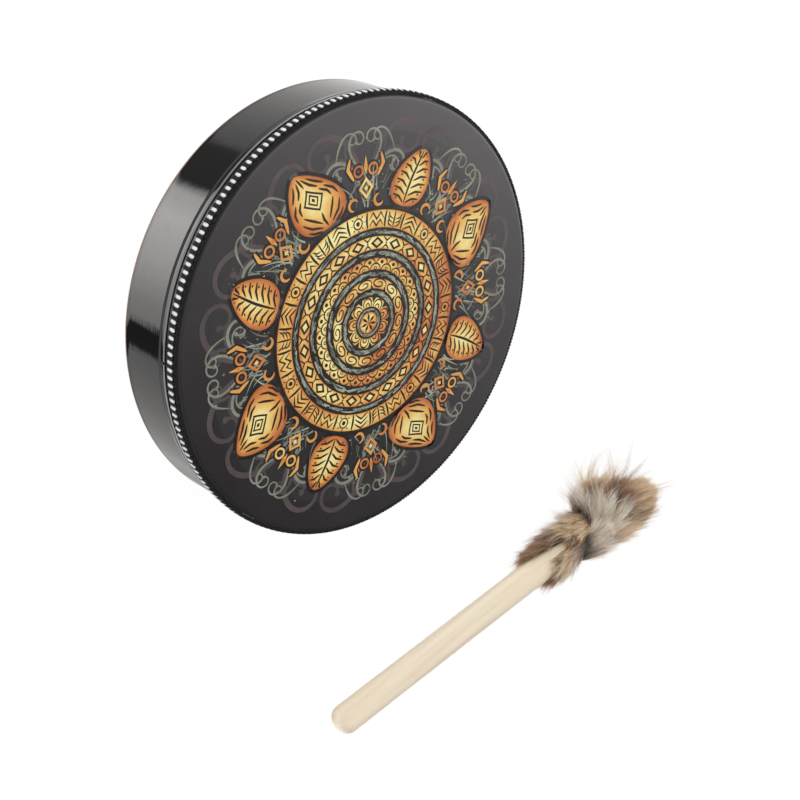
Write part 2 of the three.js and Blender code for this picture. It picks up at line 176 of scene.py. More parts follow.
# A profile [radius, height] turned about the drum's axis, with UV in metres round and along it.
def turnedPiece(name, profile, steps=360, closed=True):
    profile = np.array(profile, float)
    angle = np.linspace(0, 2 * np.pi, steps, endpoint=False)[:, None]
    radius, height = profile[None, :, 0], profile[None, :, 1]
    x = radius * np.cos(angle)
    y = radius * np.sin(angle)
    points = np.stack([x, y, np.broadcast_to(height, x.shape)], -1) + drumAt
    faces = gridFaces(steps, len(profile), True, closed)
    thing = meshObject(name, points.reshape(-1, 3), [faces])
    runs = np.linalg.norm(np.roll(profile, -1, 0) - profile, axis=1)
    along = np.concatenate([[0], np.cumsum(runs)]) * 0.001
    spans = len(profile) if closed else len(profile) - 1
    i = np.repeat(np.arange(steps), spans)
    j = np.tile(np.arange(spans), steps)
    around = 2 * np.pi * profile[:, 0].max() * 0.001 / steps
    u = np.stack([i, i + 1, i + 1, i], 1) * around
    v = along[np.stack([j, j, j + 1, j + 1], 1)]
    writeUv(thing, u.ravel(), v.ravel())
    return thing


# A tube along a path, open or closed: rings of the given radii, square to the path. Its corners run
# so that the faces of the tube are reversed grid faces.
def tubePoints(path, radius, sides, closed=False, normal=None):
    path = np.asarray(path, float)
    if closed:
        tangent = np.roll(path, -1, -2) - np.roll(path, 1, -2)
    else:
        tangent = np.gradient(path, axis=-2)
    tangent /= np.linalg.norm(tangent, axis=-1, keepdims=True)
    normal = np.array([0.0, 0.0, 1.0]) if normal is None else np.asarray(normal, float)
    side = np.cross(tangent, np.broadcast_to(normal, tangent.shape))
    side /= np.linalg.norm(side, axis=-1, keepdims=True)
    rise = np.cross(side, tangent)
    turn = 2 * np.pi * np.arange(sides) / sides
    radius = np.broadcast_to(np.asarray(radius, float), path.shape[:-1])[..., None, None]
    ring = side[..., None, :] * np.cos(turn)[:, None] - rise[..., None, :] * np.sin(turn)[:, None]
    return path[..., None, :] + radius * ring


# A Principled material, with further sockets given by their names.
def newMaterial(name, colour, roughness, **sockets):
    material = bpy.data.materials.new(name)
    material.use_nodes = True
    shader = material.node_tree.nodes["Principled BSDF"]
    shader.inputs["Base Color"].default_value = (*colour, 1)
    shader.inputs["Roughness"].default_value = roughness
    for socket, value in sockets.items():
        shader.inputs[socket.replace("_", " ")].default_value = value
    return material


# Adds a node, sets its own settings and input values, and returns it.
def addNode(material, kind, settings=None, **inputs):
    node = material.node_tree.nodes.new(kind)
    for key, value in (settings or {}).items():
        setattr(node, key, value)
    for key, value in inputs.items():
        node.inputs[key.replace("_", " ")].default_value = value
    return node


# Links an output to an input. The world has a node tree too, so these helpers also serve it.
def join(material, source, target):
    material.node_tree.links.new(source, target)


# A material's Principled shader.
def shaderOf(material):
    return material.node_tree.nodes["Principled BSDF"]


# Object or UV coordinates, stretched by a Mapping node.
def coordinates(material, scale, space="Object", turn=(0, 0, 0)):
    source = addNode(material, "ShaderNodeTexCoord")
    mapping = addNode(material, "ShaderNodeMapping", Scale=scale, Rotation=turn)
    join(material, source.outputs[space], mapping.inputs["Vector"])
    return mapping.outputs["Vector"]


# Noise of 0 to 1 over a vector.
def noise(material, vector, scale=1.0, detail=3.0, roughness=0.5):
    node = addNode(material, "ShaderNodeTexNoise", Scale=scale, Detail=detail, Roughness=roughness)
    join(material, vector, node.inputs["Vector"])
    return node.outputs["Fac"]


# Colours along a value, given as (position, (r, g, b)) stops.
def ramp(material, value, stops):
    node = addNode(material, "ShaderNodeValToRGB")
    elements = node.color_ramp.elements
    while len(elements) < len(stops):
        elements.new(0.5)
    for element, (position, colour) in zip(elements, stops):
        element.position = position
        element.color = (*colour, 1)
    join(material, value, node.inputs["Fac"])
    return node.outputs["Color"]


# A relief whose height is a value times a distance in metres, laid over another one if there is one.
def bump(material, value, strength, distance, under=None):
    node = addNode(material, "ShaderNodeBump", Strength=strength, Distance=distance)
    join(material, value, node.inputs["Height"])
    if under is not None:
        join(material, under, node.inputs["Normal"])
    return node.outputs["Normal"]


# A Math node whose inputs are numbers or sockets.
def mathNode(material, operation, *values):
    node = addNode(material, "ShaderNodeMath", {"operation": operation})
    for socket, value in zip(node.inputs, values):
        if isinstance(value, (int, float)):
            socket.default_value = value
        else:
            join(material, value, socket)
    return node.outputs["Value"]


# A Vector Math node on a vector, with a fixed second vector where it has one.
def vectorNode(material, operation, vector, second=(0, 0, 0)):
    node = addNode(material, "ShaderNodeVectorMath", {"operation": operation})
    join(material, vector, node.inputs[0])
    node.inputs[1].default_value = second
    return node.outputs["Value" if operation == "LENGTH" else "Vector"]


# Two colours mixed by a share. Each of the three is a value or a socket.
def mixColours(material, blend, share, under, over):
    node = addNode(material, "ShaderNodeMix", {"data_type": "RGBA", "blend_type": blend})
    for name, value in (("Factor", share), ("A", under), ("B", over)):
        if isinstance(value, float):
            node.inputs[name].default_value = value
        elif isinstance(value, tuple):
            node.inputs[name].default_value = (*value, 1)
        else:
            join(material, value, node.inputs[name])
    return node.outputs["Result"]


# Two shaders mixed by a share, which is a number or a socket.
def mixShaders(material, share, first, second):
    node = addNode(material, "ShaderNodeMixShader")
    if isinstance(share, float):
        node.inputs[0].default_value = share
    else:
        join(material, share, node.inputs[0])
    join(material, first.outputs[0], node.inputs[1])
    join(material, second.outputs[0], node.inputs[2])
    return node


# Black gloss whose relief is the sum of ripples and of slow waves.
def makeLaminate():
    material = newMaterial("laminateGloss", (0.006, 0.006, 0.007), 0.05)
    # ripples that lie round the wall, so that the edges of what it mirrors are combed
    ripple = noise(material, coordinates(material, (130, 130, 600)), 1.0, 2.0)
    slow = noise(material, coordinates(material, (90, 90, 12)), 1.0, 2.0)
    first = bump(material, ripple, 1.0, 0.00004)
    join(material, bump(material, slow, 0.05, 0.002, first), shaderOf(material).inputs["Normal"])
    return material


birchLook = {"base": (0.66, 0.47, 0.28), "dark": (0.42, 0.27, 0.14), "mid": (0.62, 0.44, 0.26),
             "light": (0.76, 0.59, 0.39), "glueLine": (0.58, 0.5, 0.42), "twoPlies": 0.0028,
             "edgeFrom": 0.12605, "edge": (0.36, 0.225, 0.15)}


# Grain along the hoop, plies as a sine of the distance from the drum's axis, and past a distance
# the plain tone of the outer edge, which shows under the laminate.
def makeBirch(look):
    material = newMaterial("birchPly", look["base"], 0.55)
    grain = noise(material, coordinates(material, (14, 420, 1), "UV"), 1.0, 5.0, 0.6)
    tone = ramp(material, grain, [(0.25, look["dark"]), (0.5, look["mid"]), (0.8, look["light"])])
    source = addNode(material, "ShaderNodeTexCoord")
    axis = (drumAt[0] * 0.001, drumAt[1] * 0.001, 0)
    centred = vectorNode(material, "SUBTRACT", source.outputs["Object"], axis)
    radius = vectorNode(material, "LENGTH", vectorNode(material, "MULTIPLY", centred, (1, 1, 0)))
    ply = mathNode(material, "MULTIPLY", radius, 2 * math.pi / look["twoPlies"])
    band = mathNode(material, "MULTIPLY_ADD", mathNode(material, "SINE", ply), 1.6, 0.5)
    shade = ramp(material, band, [(0.0, look["glueLine"]), (1.0, (1.0, 1.0, 1.0))])
    wood = mixColours(material, "MULTIPLY", 1.0, tone, shade)
    past = mathNode(material, "GREATER_THAN", radius, look["edgeFrom"])
    colour = mixColours(material, "MIX", past, wood, look["edge"])
    join(material, colour, shaderOf(material).inputs["Base Color"])
    join(material, bump(material, grain, 0.25, 0.0003), shaderOf(material).inputs["Normal"])
    return material


# Value that falls from 1 to 0 between two heights in metres.
def belowHeight(material, low, high):
    source = addNode(material, "ShaderNodeTexCoord")
    height = addNode(material, "ShaderNodeSeparateXYZ")
    join(material, source.outputs["Object"], height.inputs["Vector"])
    fall = addNode(material, "ShaderNodeMapRange", From_Min=low, From_Max=high, To_Min=1, To_Max=0)
    join(material, height.outputs["Z"], fall.inputs["Value"])
    return fall.outputs["Result"]


membraneLook = {"dark": (0.013, 0.011, 0.012), "light": (0.020, 0.017, 0.018), "rough": 0.26,
                "edgeRough": 0.7, "edgeFrom": 0.0507, "edgeTo": 0.05078,
                "skirtRough": 0.16, "skirtFrom": 0.0428, "skirtTo": 0.0434}


# Satin on the head, dull on its rounded edge and glossier down the skirt: each step of roughness
# is its share below a height times the change there. A fine grain lies all over.
def makeMembrane(look):
    material = newMaterial("membraneGround", look["light"], look["rough"], Specular_IOR_Level=0.55)
    fine = noise(material, coordinates(material, (3600, 3600, 3600)), 1.0, 2.0)
    edge = belowHeight(material, look["edgeFrom"], look["edgeTo"])
    dulled = mathNode(material, "MULTIPLY", edge, look["edgeRough"] - look["rough"])
    low = belowHeight(material, look["skirtFrom"], look["skirtTo"])
    glossed = mathNode(material, "MULTIPLY", low, look["skirtRough"] - look["edgeRough"])
    both = mathNode(material, "ADD", dulled, glossed)
    join(material, mathNode(material, "ADD", both, look["rough"]), shaderOf(material).inputs["Roughness"])
    cloud = noise(material, coordinates(material, (30, 30, 30)), 1.0, 4.0)
    tone = ramp(material, cloud, [(0.3, look["dark"]), (0.7, look["light"])])
    join(material, tone, shaderOf(material).inputs["Base Color"])
    join(material, bump(material, fine, 0.18, 0.0001), shaderOf(material).inputs["Normal"])
    return material


# Printed ink: a colour with the grain of the membrane under it.
def makeInk(name, stops, usesGlow=False, scale=85, specular=0.3):
    material = newMaterial(name, stops[-1][1], 0.36, Specular_IOR_Level=specular)
    cloud = noise(material, coordinates(material, (scale, scale, scale)), 1.0, 5.0, 0.65)
    value = cloud
    if usesGlow:
        glow = addNode(material, "ShaderNodeAttribute", {"attribute_name": "glow"})
        shifted = mathNode(material, "SUBTRACT", cloud, 0.5)
        scaled = mathNode(material, "MULTIPLY", shifted, 0.8)
        value = mathNode(material, "ADD", scaled, glow.outputs["Fac"])
    join(material, ramp(material, value, stops), shaderOf(material).inputs["Base Color"])
    fine = noise(material, coordinates(material, (3600, 3600, 3600)), 1.0, 2.0)
    join(material, bump(material, fine, 0.12, 0.0001), shaderOf(material).inputs["Normal"])
    return material


# Thread, leather or felt: two tones and a relief from one stretched noise.
def makeThread(name, dark, light, roughness, scale, strength=0.5, **sockets):
    material = newMaterial(name, light, roughness, **sockets)
    fibre = noise(material, coordinates(material, scale), 1.0, 3.0, 0.6)
    join(material, ramp(material, fibre, [(0.3, dark), (0.7, light)]),
         shaderOf(material).inputs["Base Color"])
    join(material, bump(material, fibre, strength, 0.0003), shaderOf(material).inputs["Normal"])
    return material


# Metal with a faint wear in its tone and its relief.
def makeSteel(name, dark, light, roughness):
    material = newMaterial(name, light, roughness, Metallic=1.0)
    wear = noise(material, coordinates(material, (260, 260, 260)), 1.0, 4.0)
    join(material, ramp(material, wear, [(0.3, dark), (0.7, light)]),
         shaderOf(material).inputs["Base Color"])
    join(material, bump(material, wear, 0.08, 0.0002), shaderOf(material).inputs["Normal"])
    return material


beechLook = {"dark": (0.79, 0.655, 0.49), "mid": (0.855, 0.73, 0.555), "light": (0.90, 0.80, 0.64)}


# Pale wood: grain and pores are noises stretched along the stick, which is turned by its tilt.
def makeBeech(look, tilt):
    material = newMaterial("paleBeech", look["mid"], 0.5)
    grain = noise(material, coordinates(material, (9, 240, 240), turn=(0, tilt, 0)), 1.0, 5.0, 0.55)
    pores = noise(material, coordinates(material, (170, 2600, 2600), turn=(0, tilt, 0)), 1.0, 2.0)
    tone = ramp(material, grain, [(0.28, look["dark"]), (0.5, look["mid"]), (0.75, look["light"])])
    fleck = ramp(material, pores, [(0.28, (0.86, 0.81, 0.75)), (0.36, (1, 1, 1))])
    colour = mixColours(material, "MULTIPLY", 0.7, tone, fleck)
    join(material, colour, shaderOf(material).inputs["Base Color"])
    join(material, bump(material, pores, 0.12, 0.0002), shaderOf(material).inputs["Normal"])
    return material


# Hair takes its tone from the strands' own colours.
def makeHair():
    material = newMaterial("furHair", (0.4, 0.3, 0.22), 0.42, Specular_IOR_Level=0.35)
    tone = addNode(material, "ShaderNodeAttribute", {"attribute_name": "tone"})
    join(material, tone.outputs["Color"], shaderOf(material).inputs["Base Color"])
    return material


laminate = makeLaminate()
birch = makeBirch(birchLook)
membrane = makeMembrane(membraneLook)
blackBraid = makeThread("blackBraid", (0.003, 0.003, 0.003), (0.016, 0.016, 0.017), 0.6,
                        (900, 900, 2600), Specular_IOR_Level=0.15)
silverThread = makeThread("silverThread", (0.60, 0.61, 0.62), (0.92, 0.93, 0.94), 0.4,
                          (2600, 2600, 260), 0.35)
blackSteel = makeSteel("blackSteel", (0.012, 0.012, 0.014), (0.035, 0.035, 0.038), 0.35)
brightSteel = makeSteel("brightSteel", (0.55, 0.55, 0.56), (0.74, 0.74, 0.75), 0.18)
waxedThong = makeThread("waxedThong", (0.012, 0.008, 0.006), (0.055, 0.035, 0.022), 0.45,
                        (420, 420, 420), 0.6)
waxedThread = makeThread("waxedThread", (0.006, 0.005, 0.005), (0.03, 0.026, 0.024), 0.5,
                         (700, 2200, 2200), 0.4)
greyFelt = makeThread("greyFelt", (0.18, 0.17, 0.16), (0.38, 0.36, 0.34), 0.95,
                      (1400, 1400, 1400), 1.0, Sheen_Weight=0.4)
hairFinish = makeHair()
print("finishes made")


# The shell is a plywood hoop, its laminate and the head. Sizes are in millimetres.
hoop = {"inner": 119.4, "outer": 126.4, "top": 50.2, "shoulder": 125.0, "crown": 1.5, "bevel": 3.8}


# The section of the hoop is a box whose top falls inwards in a bevel.
def makeHoop(part):
    profile = softProfile([
        (part["inner"], 0, 0.8),
        (part["outer"], 0, 0.8),
        (part["outer"], part["top"], 1.4),
        (part["shoulder"] - part["crown"], part["top"], 0.6),
        (part["inner"], part["top"] - part["bevel"], 0.6),
    ], 5)
    thing = turnedPiece("shellHoop", profile, 288)
    place(thing, birch, "drum", ["shell_hoop"])


film = {"inner": 126.5, "outer": 127.0, "bottom": 2.2, "rampFrom": 32.9, "ridge": 127.74,
        "ridgeAt": 36.3, "top": 39.3}


# The wall is straight, then swells over the skirt's edge into a low ridge and turns in again.
def makeFilm(part):
    rise = np.linspace(0, 1, 9)
    swell = part["outer"] + (part["ridge"] - part["outer"]) * (0.5 - 0.5 * np.cos(np.pi * rise))
    climb = np.stack([swell, part["rampFrom"] + (part["ridgeAt"] - part["rampFrom"]) * rise], 1)
    over = np.linspace(0, 1, 8)[1:]
    lip = np.stack([part["ridge"] - 0.34 * over ** 2.2,
                    part["ridgeAt"] + (part["top"] - part["ridgeAt"]) * over], 1)
    inner, outer, bottom = part["inner"], part["outer"], part["bottom"]
    back = np.array([(outer + 0.15, part["top"] + 0.02), (outer + 0.1, part["top"] - 0.1),
                     (outer + 0.1, part["ridgeAt"]), (outer - 0.1, 35.4), (inner, 34.6), (inner, 20.0)])
    # the lower edge flares out a little, which gives it a thin line of light
    flare = [(-0.02, 0), (0.1, 0.1), (0.15, 0.3), (0.12, 0.7), (0.07, 1.2), (0.03, 1.9), (0, 2.6)]
    low = np.array([(inner, bottom + 0.15), (inner + 0.06, bottom + 0.02), (inner + 0.2, bottom)]
                   + [(outer + out, bottom + up) for out, up in flare]
                   + [(outer, height) for height in (5.4, 10, 24, part["rampFrom"] - 0.4)])
    thing = turnedPiece("shellFilm", np.concatenate([low, climb, lip, back]), 720)
    place(thing, laminate, "drum", ["shell_film"])


head = {"radius": 127.0, "thick": 0.5, "round": 1.3, "skirt": 36.2, "top": 50.8}


# The section of the head is a flat disc, a quarter of a circle and a skirt down the wall.
def makeHead(part):
    turn = np.radians(np.linspace(0, 90, 9))
    outer = np.stack([part["radius"] - part["round"] + part["round"] * np.cos(turn),
                      part["top"] - part["round"] + part["round"] * np.sin(turn)], 1)
    under = part["round"] - part["thick"]
    inner = np.stack([part["radius"] - part["round"] + under * np.cos(turn[::-1]),
                      part["top"] - part["round"] + under * np.sin(turn[::-1])], 1)
    bottom = part["top"] - part["thick"]
    rings = [124.4, 110, 80, 40, 0]
    topDisc = np.array([(r, part["top"]) for r in rings])
    lowDisc = np.array([(r, bottom) for r in rings[::-1]])
    wall, low = part["radius"], part["skirt"]
    back = wall - part["thick"]
    skirt = np.array([(back, 48.3), (back, 42), (back, low + 0.2), (back + 0.06, low),
                      (wall - 0.06, low), (wall, low + 0.2), (wall, 42), (wall, 48.3)])
    profile = np.concatenate([lowDisc, inner, skirt, outer, topDisc])
    thing = closePoles(turnedPiece("drumHead", profile, 288, closed=False))
    place(thing, membrane, "drum", ["drumhead"])


makeHoop(hoop)
makeFilm(film)
makeHead(head)
print("shell made")


# The braided trim round the head.
trim = {"inner": 127.7, "outer": 128.3, "bottom": 42.8, "top": 50.2, "lip": 127.04, "lipHigh": 0.9,
        "beads": 190, "centre": 46.3, "radius": 128.95, "halfLong": 2.0, "halfWide": 1.0,
        "halfThick": 0.62, "slant": 4.0, "rungWide": 0.44, "rungLong": 3.35, "rungApart": 0.52,
        "loops": 380, "loopAt": 49.7, "loopAcross": 0.78, "loopUp": 0.62, "loopThread": 0.3}


# A point on the wall from its angle in radians, its height and its distance from the drum's axis.
def onWall(angle, height, radius):
    return np.stack([radius * np.cos(angle), radius * np.sin(angle),
                     np.broadcast_to(height, np.broadcast(angle, radius).shape)], -1) + drumAt


# The ribbon stands off by the tacks' heads, and its upper lip is glued down on the skirt.
def makeRibbon(part):
    profile = softProfile([
        (part["inner"], part["bottom"], 0.15),
        (part["outer"], part["bottom"], 0.28),
        (part["outer"], part["top"], 0.28),
        (part["lip"], part["top"], 0.15),
        (part["lip"], part["top"] - part["lipHigh"], 0.1),
        (part["inner"], part["top"] - part["lipHigh"], 0.1),
    ], 3)
    thing = turnedPiece("braidRibbon", profile, 360)
    place(thing, blackBraid, "drum", ["trim_ribbon"])
    # loops of thread that stand over the ribbon's upper edge, two for each bead
    middle = 2 * np.pi * (np.arange(part["loops"]) + 0.5) / part["loops"]
    sweep = np.radians(np.linspace(-40, 220, 7))[None, :]
    angle = middle[:, None] + part["loopAcross"] * np.cos(sweep) / part["outer"]
    up = part["loopAt"] + part["loopUp"] * np.sin(sweep) + 0 * angle
    out = part["outer"] + 0.2 - 0.12 * np.clip(up - part["top"], 0, 2)
    threads("braidLoops", middle, onWall(angle, up, out), part["loopThread"], 4)


# Short threads over the wall, one for each middle angle, with flat ends.
def threads(name, middle, paths, radius, sides):
    count, steps = paths.shape[:2]
    outward = np.stack([np.cos(middle), np.sin(middle), 0 * middle], -1)[:, None]
    rings = tubePoints(paths, radius, sides, normal=outward)
    faces = repeatedFaces(gridFaces(steps, sides, False, True)[:, ::-1], count, steps * sides)
    ends = np.arange(count)[:, None] * steps * sides + np.arange(sides)[None]
    caps = [ends[:, ::-1], ends + (steps - 1) * sides]
    thing = meshObject(name, rings.reshape(-1, 3), [faces, *caps])
    place(thing, blackBraid, "drum")


# A power that keeps the sign, which squares off a round section.
def boxy(value, power):
    return np.sign(value) * np.abs(value) ** power


# Silver wraps are rounded boxes along the wall, and two black threads lie in each gap between them.
def makeCord(part):
    count = part["beads"]
    slant = math.radians(part["slant"])
    middle = 2 * np.pi * np.arange(count) / count
    lon = np.linspace(0, 2 * np.pi, 12, endpoint=False)[:, None]
    lat = np.radians([-90, -60, -30, 0, 30, 60, 90])[None, :]
    along = part["halfLong"] * boxy(np.sin(lat), 0.6) + 0 * lon
    wide = part["halfWide"] * np.cos(lat) ** 0.45 * boxy(np.cos(lon), 0.6)
    thick = part["halfThick"] * np.cos(lat) ** 0.5 * boxy(np.sin(lon), 0.8)
    up = along * math.cos(slant) - wide * math.sin(slant)
    side = along * math.sin(slant) + wide * math.cos(slant)
    angle = middle[:, None, None] + side[None] / part["radius"]
    height = part["centre"] + up[None] + 0 * angle
    points = onWall(angle, height, part["radius"] + thick[None] + 0 * angle)
    grid = gridFaces(lon.size, lat.size, True, False)[:, ::-1]
    faces = repeatedFaces(grid, count, lon.size * lat.size)
    beads = closePoles(meshObject("cordSilver", points.reshape(-1, 3), [faces]), 2e-6)
    place(beads, silverThread, "drum", ["trim_cord"])
    run = np.linspace(-1, 1, 5)[None, :]
    gaps = np.concatenate([middle, middle]) + np.pi / count
    gaps[:count] -= part["rungApart"] / part["radius"]
    gaps[count:] += part["rungApart"] / part["radius"]
    rungAngle = gaps[:, None] + part["rungLong"] * run * math.sin(slant) / part["radius"]
    rungUp = part["centre"] + part["rungLong"] * run + 0 * rungAngle
    rungOut = part["radius"] - 0.25 + 0.3 * (1 - run ** 2) + 0 * rungAngle
    threads("cordRungs", gaps, onWall(rungAngle, rungUp, rungOut), part["rungWide"], 5)
    core = turnedPiece("cordCore", softProfile([
        (part["outer"] + 0.02, part["centre"] - 1.9, 0.2),
        (part["outer"] + 0.5, part["centre"] - 1.9, 0.35),
        (part["outer"] + 0.5, part["centre"] + 1.9, 0.35),
        (part["outer"] + 0.02, part["centre"] + 1.9, 0.2),
    ], 3), 360)
    place(core, blackBraid, "drum")


makeRibbon(trim)
makeCord(trim)
print("trim made")


# The pin in the laminate's upper edge.
pin = {"angle": -17.4, "height": 38.0, "seat": 127.6, "head": 1.0, "rise": 0.75, "shank": 0.45}


# A profile [radius, station] turned about a line that points outwards from the drum's axis.
def radialLathe(profile, angleDegrees, height, sides=20):
    profile = np.array(profile, float)
    turn = np.linspace(0, 2 * np.pi, sides, endpoint=False)[:, None]
    along = profile[None, :, 1] + 0 * turn
    across = profile[None, :, 0] * np.cos(turn)
    up = -profile[None, :, 0] * np.sin(turn)
    a = math.radians(angleDegrees)
    x = along * math.cos(a) - across * math.sin(a)
    y = along * math.sin(a) + across * math.cos(a)
    faces = gridFaces(sides, len(profile), True)[:, ::-1]
    return (np.stack([x, y, up + height], -1) + drumAt).reshape(-1, 3), faces


# A shank under a dome, whose radius goes by the cosine and whose rise by the sine.
def makePin(part):
    seat, r = part["seat"], part["head"]
    dome = [(r * math.cos(t), seat + part["rise"] * math.sin(t)) for t in np.radians(range(0, 91, 15))]
    profile = [(0, seat - 5.4), (part["shank"], seat - 4.6), (part["shank"], seat - 0.1),
               (r * 0.92, seat - 0.1), *dome]
    points, faces = radialLathe(profile, part["angle"], part["height"])
    thing = closePoles(meshObject("filmPin", points, [faces]))
    place(thing, blackSteel, "drum", ["film_pin"])


# The tacks keep the meshes of the solids and take their finish.
def dressTacks():
    for name, node in nodes.items():
        if name.startswith("tack_"):
            node.data.materials.clear()
            node.data.materials.append(blackSteel)


# The hand hold across the open back: a ring that four thongs tie to screw eyes.
hold = {"height": 13.0, "ringRadius": 17.0, "ringWire": 2.0, "eyeCentre": 110.4, "eyeRadius": 5.5,
        "eyeWire": 1.5, "eyeTip": 124.9, "thong": 1.5, "runHalf": 1.9, "wrapGap": 0.4, "ease": 5.0,
        "ferruleFrom": 33.0, "ferruleLong": 8.0, "ferruleGap": 0.3, "ferruleWall": 0.7,
        "arms": (45, 135, 225, 315)}


# A wire bent to a ring: its distance from the centre is the radius plus the wire's thickness times
# the cosine of the turn round the wire, and its height goes by the sine.
def wireRing(centre, radius, wire, height, big, small):
    a = np.linspace(0, 2 * np.pi, big, endpoint=False)[:, None]
    b = np.linspace(0, 2 * np.pi, small, endpoint=False)[None, :]
    reach = radius + wire * np.cos(b)
    up = height + wire * np.sin(b) + 0 * a
    points = np.stack([centre + reach * np.cos(a), reach * np.sin(a), up], -1)
    return points.reshape(-1, 3), gridFaces(big, small, True, True)


# Turns points from the +X arm to the arm at an angle, about the drum's axis.
def toArm(points, angleDegrees):
    a = math.radians(angleDegrees)
    turn = np.array([[math.cos(a), math.sin(a), 0], [-math.sin(a), math.cos(a), 0], [0, 0, 1]])
    return points.reshape(-1, 3) @ turn + drumAt


# Half of a thong's end: an arc round the wire, then an ease to the straight run.
def wrapHalf(part, wire):
    wrap = wire + part["thong"] + part["wrapGap"]
    turn = np.radians(np.linspace(180, 60, 13))
    arc = np.stack([wrap * np.cos(turn), wrap * np.sin(turn)], 1)
    t = np.linspace(0, 1, 9)[1:]
    keep = 1 - t * t * (3 - 2 * t)
    slope = -part["ease"] / math.tan(math.radians(60))
    up = arc[-1, 1] * keep + slope * t * (1 - t) ** 2 + part["runHalf"] * (1 - keep)
    ease = np.stack([arc[-1, 0] + part["ease"] * t, up], 1)
    return np.concatenate([arc, ease])


# A thong's loop: half of the end round the ring, a straight run, half of the end round the eye, and
# the same mirrored below.
def thongPath(part):
    ringEnd = wrapHalf(part, part["ringWire"]) + [part["ringRadius"], 0]
    eyeEnd = wrapHalf(part, part["eyeWire"])[::-1] * [-1, 1]
    eyeEnd += [part["eyeCentre"] - part["eyeRadius"], 0]
    along = np.linspace(ringEnd[-1, 0], eyeEnd[0, 0], 24)[1:-1]
    middle = np.stack([along, np.full(22, part["runHalf"])], 1)
    upper = np.concatenate([ringEnd, middle, eyeEnd])
    lower = upper[1:-1][::-1] * [1, -1]
    loop = np.concatenate([upper, lower])
    return np.stack([loop[:, 0], 0 * loop[:, 0], part["height"] + loop[:, 1]], 1)


# A sleeve of stadium section: a rounded wall profile carried round the outline of its bore.
def ferrulePoints(part):
    halfWide = part["thong"] + part["ferruleGap"]
    straight = part["runHalf"]
    turn = np.linspace(0, 2 * np.pi, 48, endpoint=False)
    outline = np.stack([np.cos(turn), np.sin(turn)], 1)
    shift = straight * np.sign(outline[:, 1])
    wall = softProfile([(0, 0, 0.2), (part["ferruleWall"], 0, 0.3),
                        (part["ferruleWall"], part["ferruleLong"], 0.3),
                        (0, part["ferruleLong"], 0.2)], 3)
    reach = halfWide + wall[None, :, 0]
    y = outline[:, :1] * reach
    z = outline[:, 1:] * reach + shift[:, None]
    return np.stack([part["ferruleFrom"] + wall[None, :, 1] + 0 * y, y, part["height"] + z], -1)


# The ring, and on each arm a thong, its ferrule and its screw eye.
def makeHold(part):
    wire = part["eyeWire"]
    ring, ringFaces = wireRing(0, part["ringRadius"], part["ringWire"], part["height"], 96, 20)
    loop, loopFaces = wireRing(part["eyeCentre"], part["eyeRadius"], wire, part["height"], 48, 14)
    place(meshObject("handRing", ring + drumAt, [ringFaces]), brightSteel, "drum",
          ["hand_ring"])
    tube = tubePoints(thongPath(part), part["thong"], 14, closed=True, normal=(0, 1, 0))
    tubeFaces = gridFaces(*tube.shape[:2], True, True)[:, ::-1]
    sleeve = ferrulePoints(part)
    sleeveFaces = gridFaces(*sleeve.shape[:2], True, True)
    start = part["eyeCentre"] + part["eyeRadius"] - 0.4
    stem = [(0, start), (wire * 0.7, start), (wire * 0.97, start + 0.8), (wire * 0.95, start + 1.6),
            (wire * 0.95, part["eyeTip"] - wire), (0, part["eyeTip"])]
    for number, arm in enumerate(part["arms"], 1):
        thong = meshObject(f"thong{number}", toArm(tube, arm), [tubeFaces])
        place(thong, waxedThong, "drum", [f"thong_{number}"])
        ferrule = meshObject(f"ferrule{number}", toArm(sleeve, arm), [sleeveFaces])
        place(ferrule, brightSteel, "drum", [f"thong_ferrule_{number}"])
        shank, shankFaces = radialLathe(stem, arm, part["height"], 16)
        points = np.concatenate([toArm(loop, arm), shank])
        faces = [loopFaces, shankFaces + len(loop)]
        eye = closePoles(meshObject(f"screwEye{number}", points, faces))
        place(eye, brightSteel, "drum", [f"screw_eye_{number}"])


makePin(pin)
dressTacks()
makeHold(hold)
print("hand hold made")


# The print on the head is flat shapes of ink in millimetres round the head's centre. Each colour has
# its own thin layer, and each shape its own height inside that layer, so that shapes may cross.
inkLayers = {"veil": 0.02, "mauve": 0.05, "green": 0.08, "ground": 0.11, "hatch": 0.14, "gold": 0.17,
             "line": 0.20, "accent": 0.23}
inkShapes = {name: [] for name in inkLayers}
draw = np.random.default_rng(41)


# Points (copies, ..., 2) go over their layer by the fractional part of the copy's number times 0.618,
# times 0.018 mm.
def addInk(colour, points, faces, glow=0.5, rise=0.0):
    glow = np.broadcast_to(np.asarray(glow, float), points.shape[:-1]).ravel()
    copies = np.arange(len(points)) + len(inkShapes[colour]) * 7
    own = (copies * 0.618) % 1 * 0.018
    height = own.reshape([-1] + [1] * (points.ndim - 2)) + rise + inkLayers[colour] + headTop
    height = np.broadcast_to(height, points.shape[:-1])
    spots = np.concatenate([points, height[..., None]], -1)
    inkShapes[colour].append((spots.reshape(-1, 3), faces, glow))


# Closed shapes of k corners, counter-clockwise, given as (copies, k, 2).
def fillInk(colour, shapes, glow=0.5):
    x, y = shapes[..., 0], shapes[..., 1]
    area = np.sum(x * np.roll(y, -1, -1) - np.roll(x, -1, -1) * y, -1)
    shapes = np.where((area < 0)[:, None, None], shapes[:, ::-1], shapes)
    addInk(colour, shapes, np.arange(shapes.shape[0] * shapes.shape[1]).reshape(shapes.shape[:2]), glow)


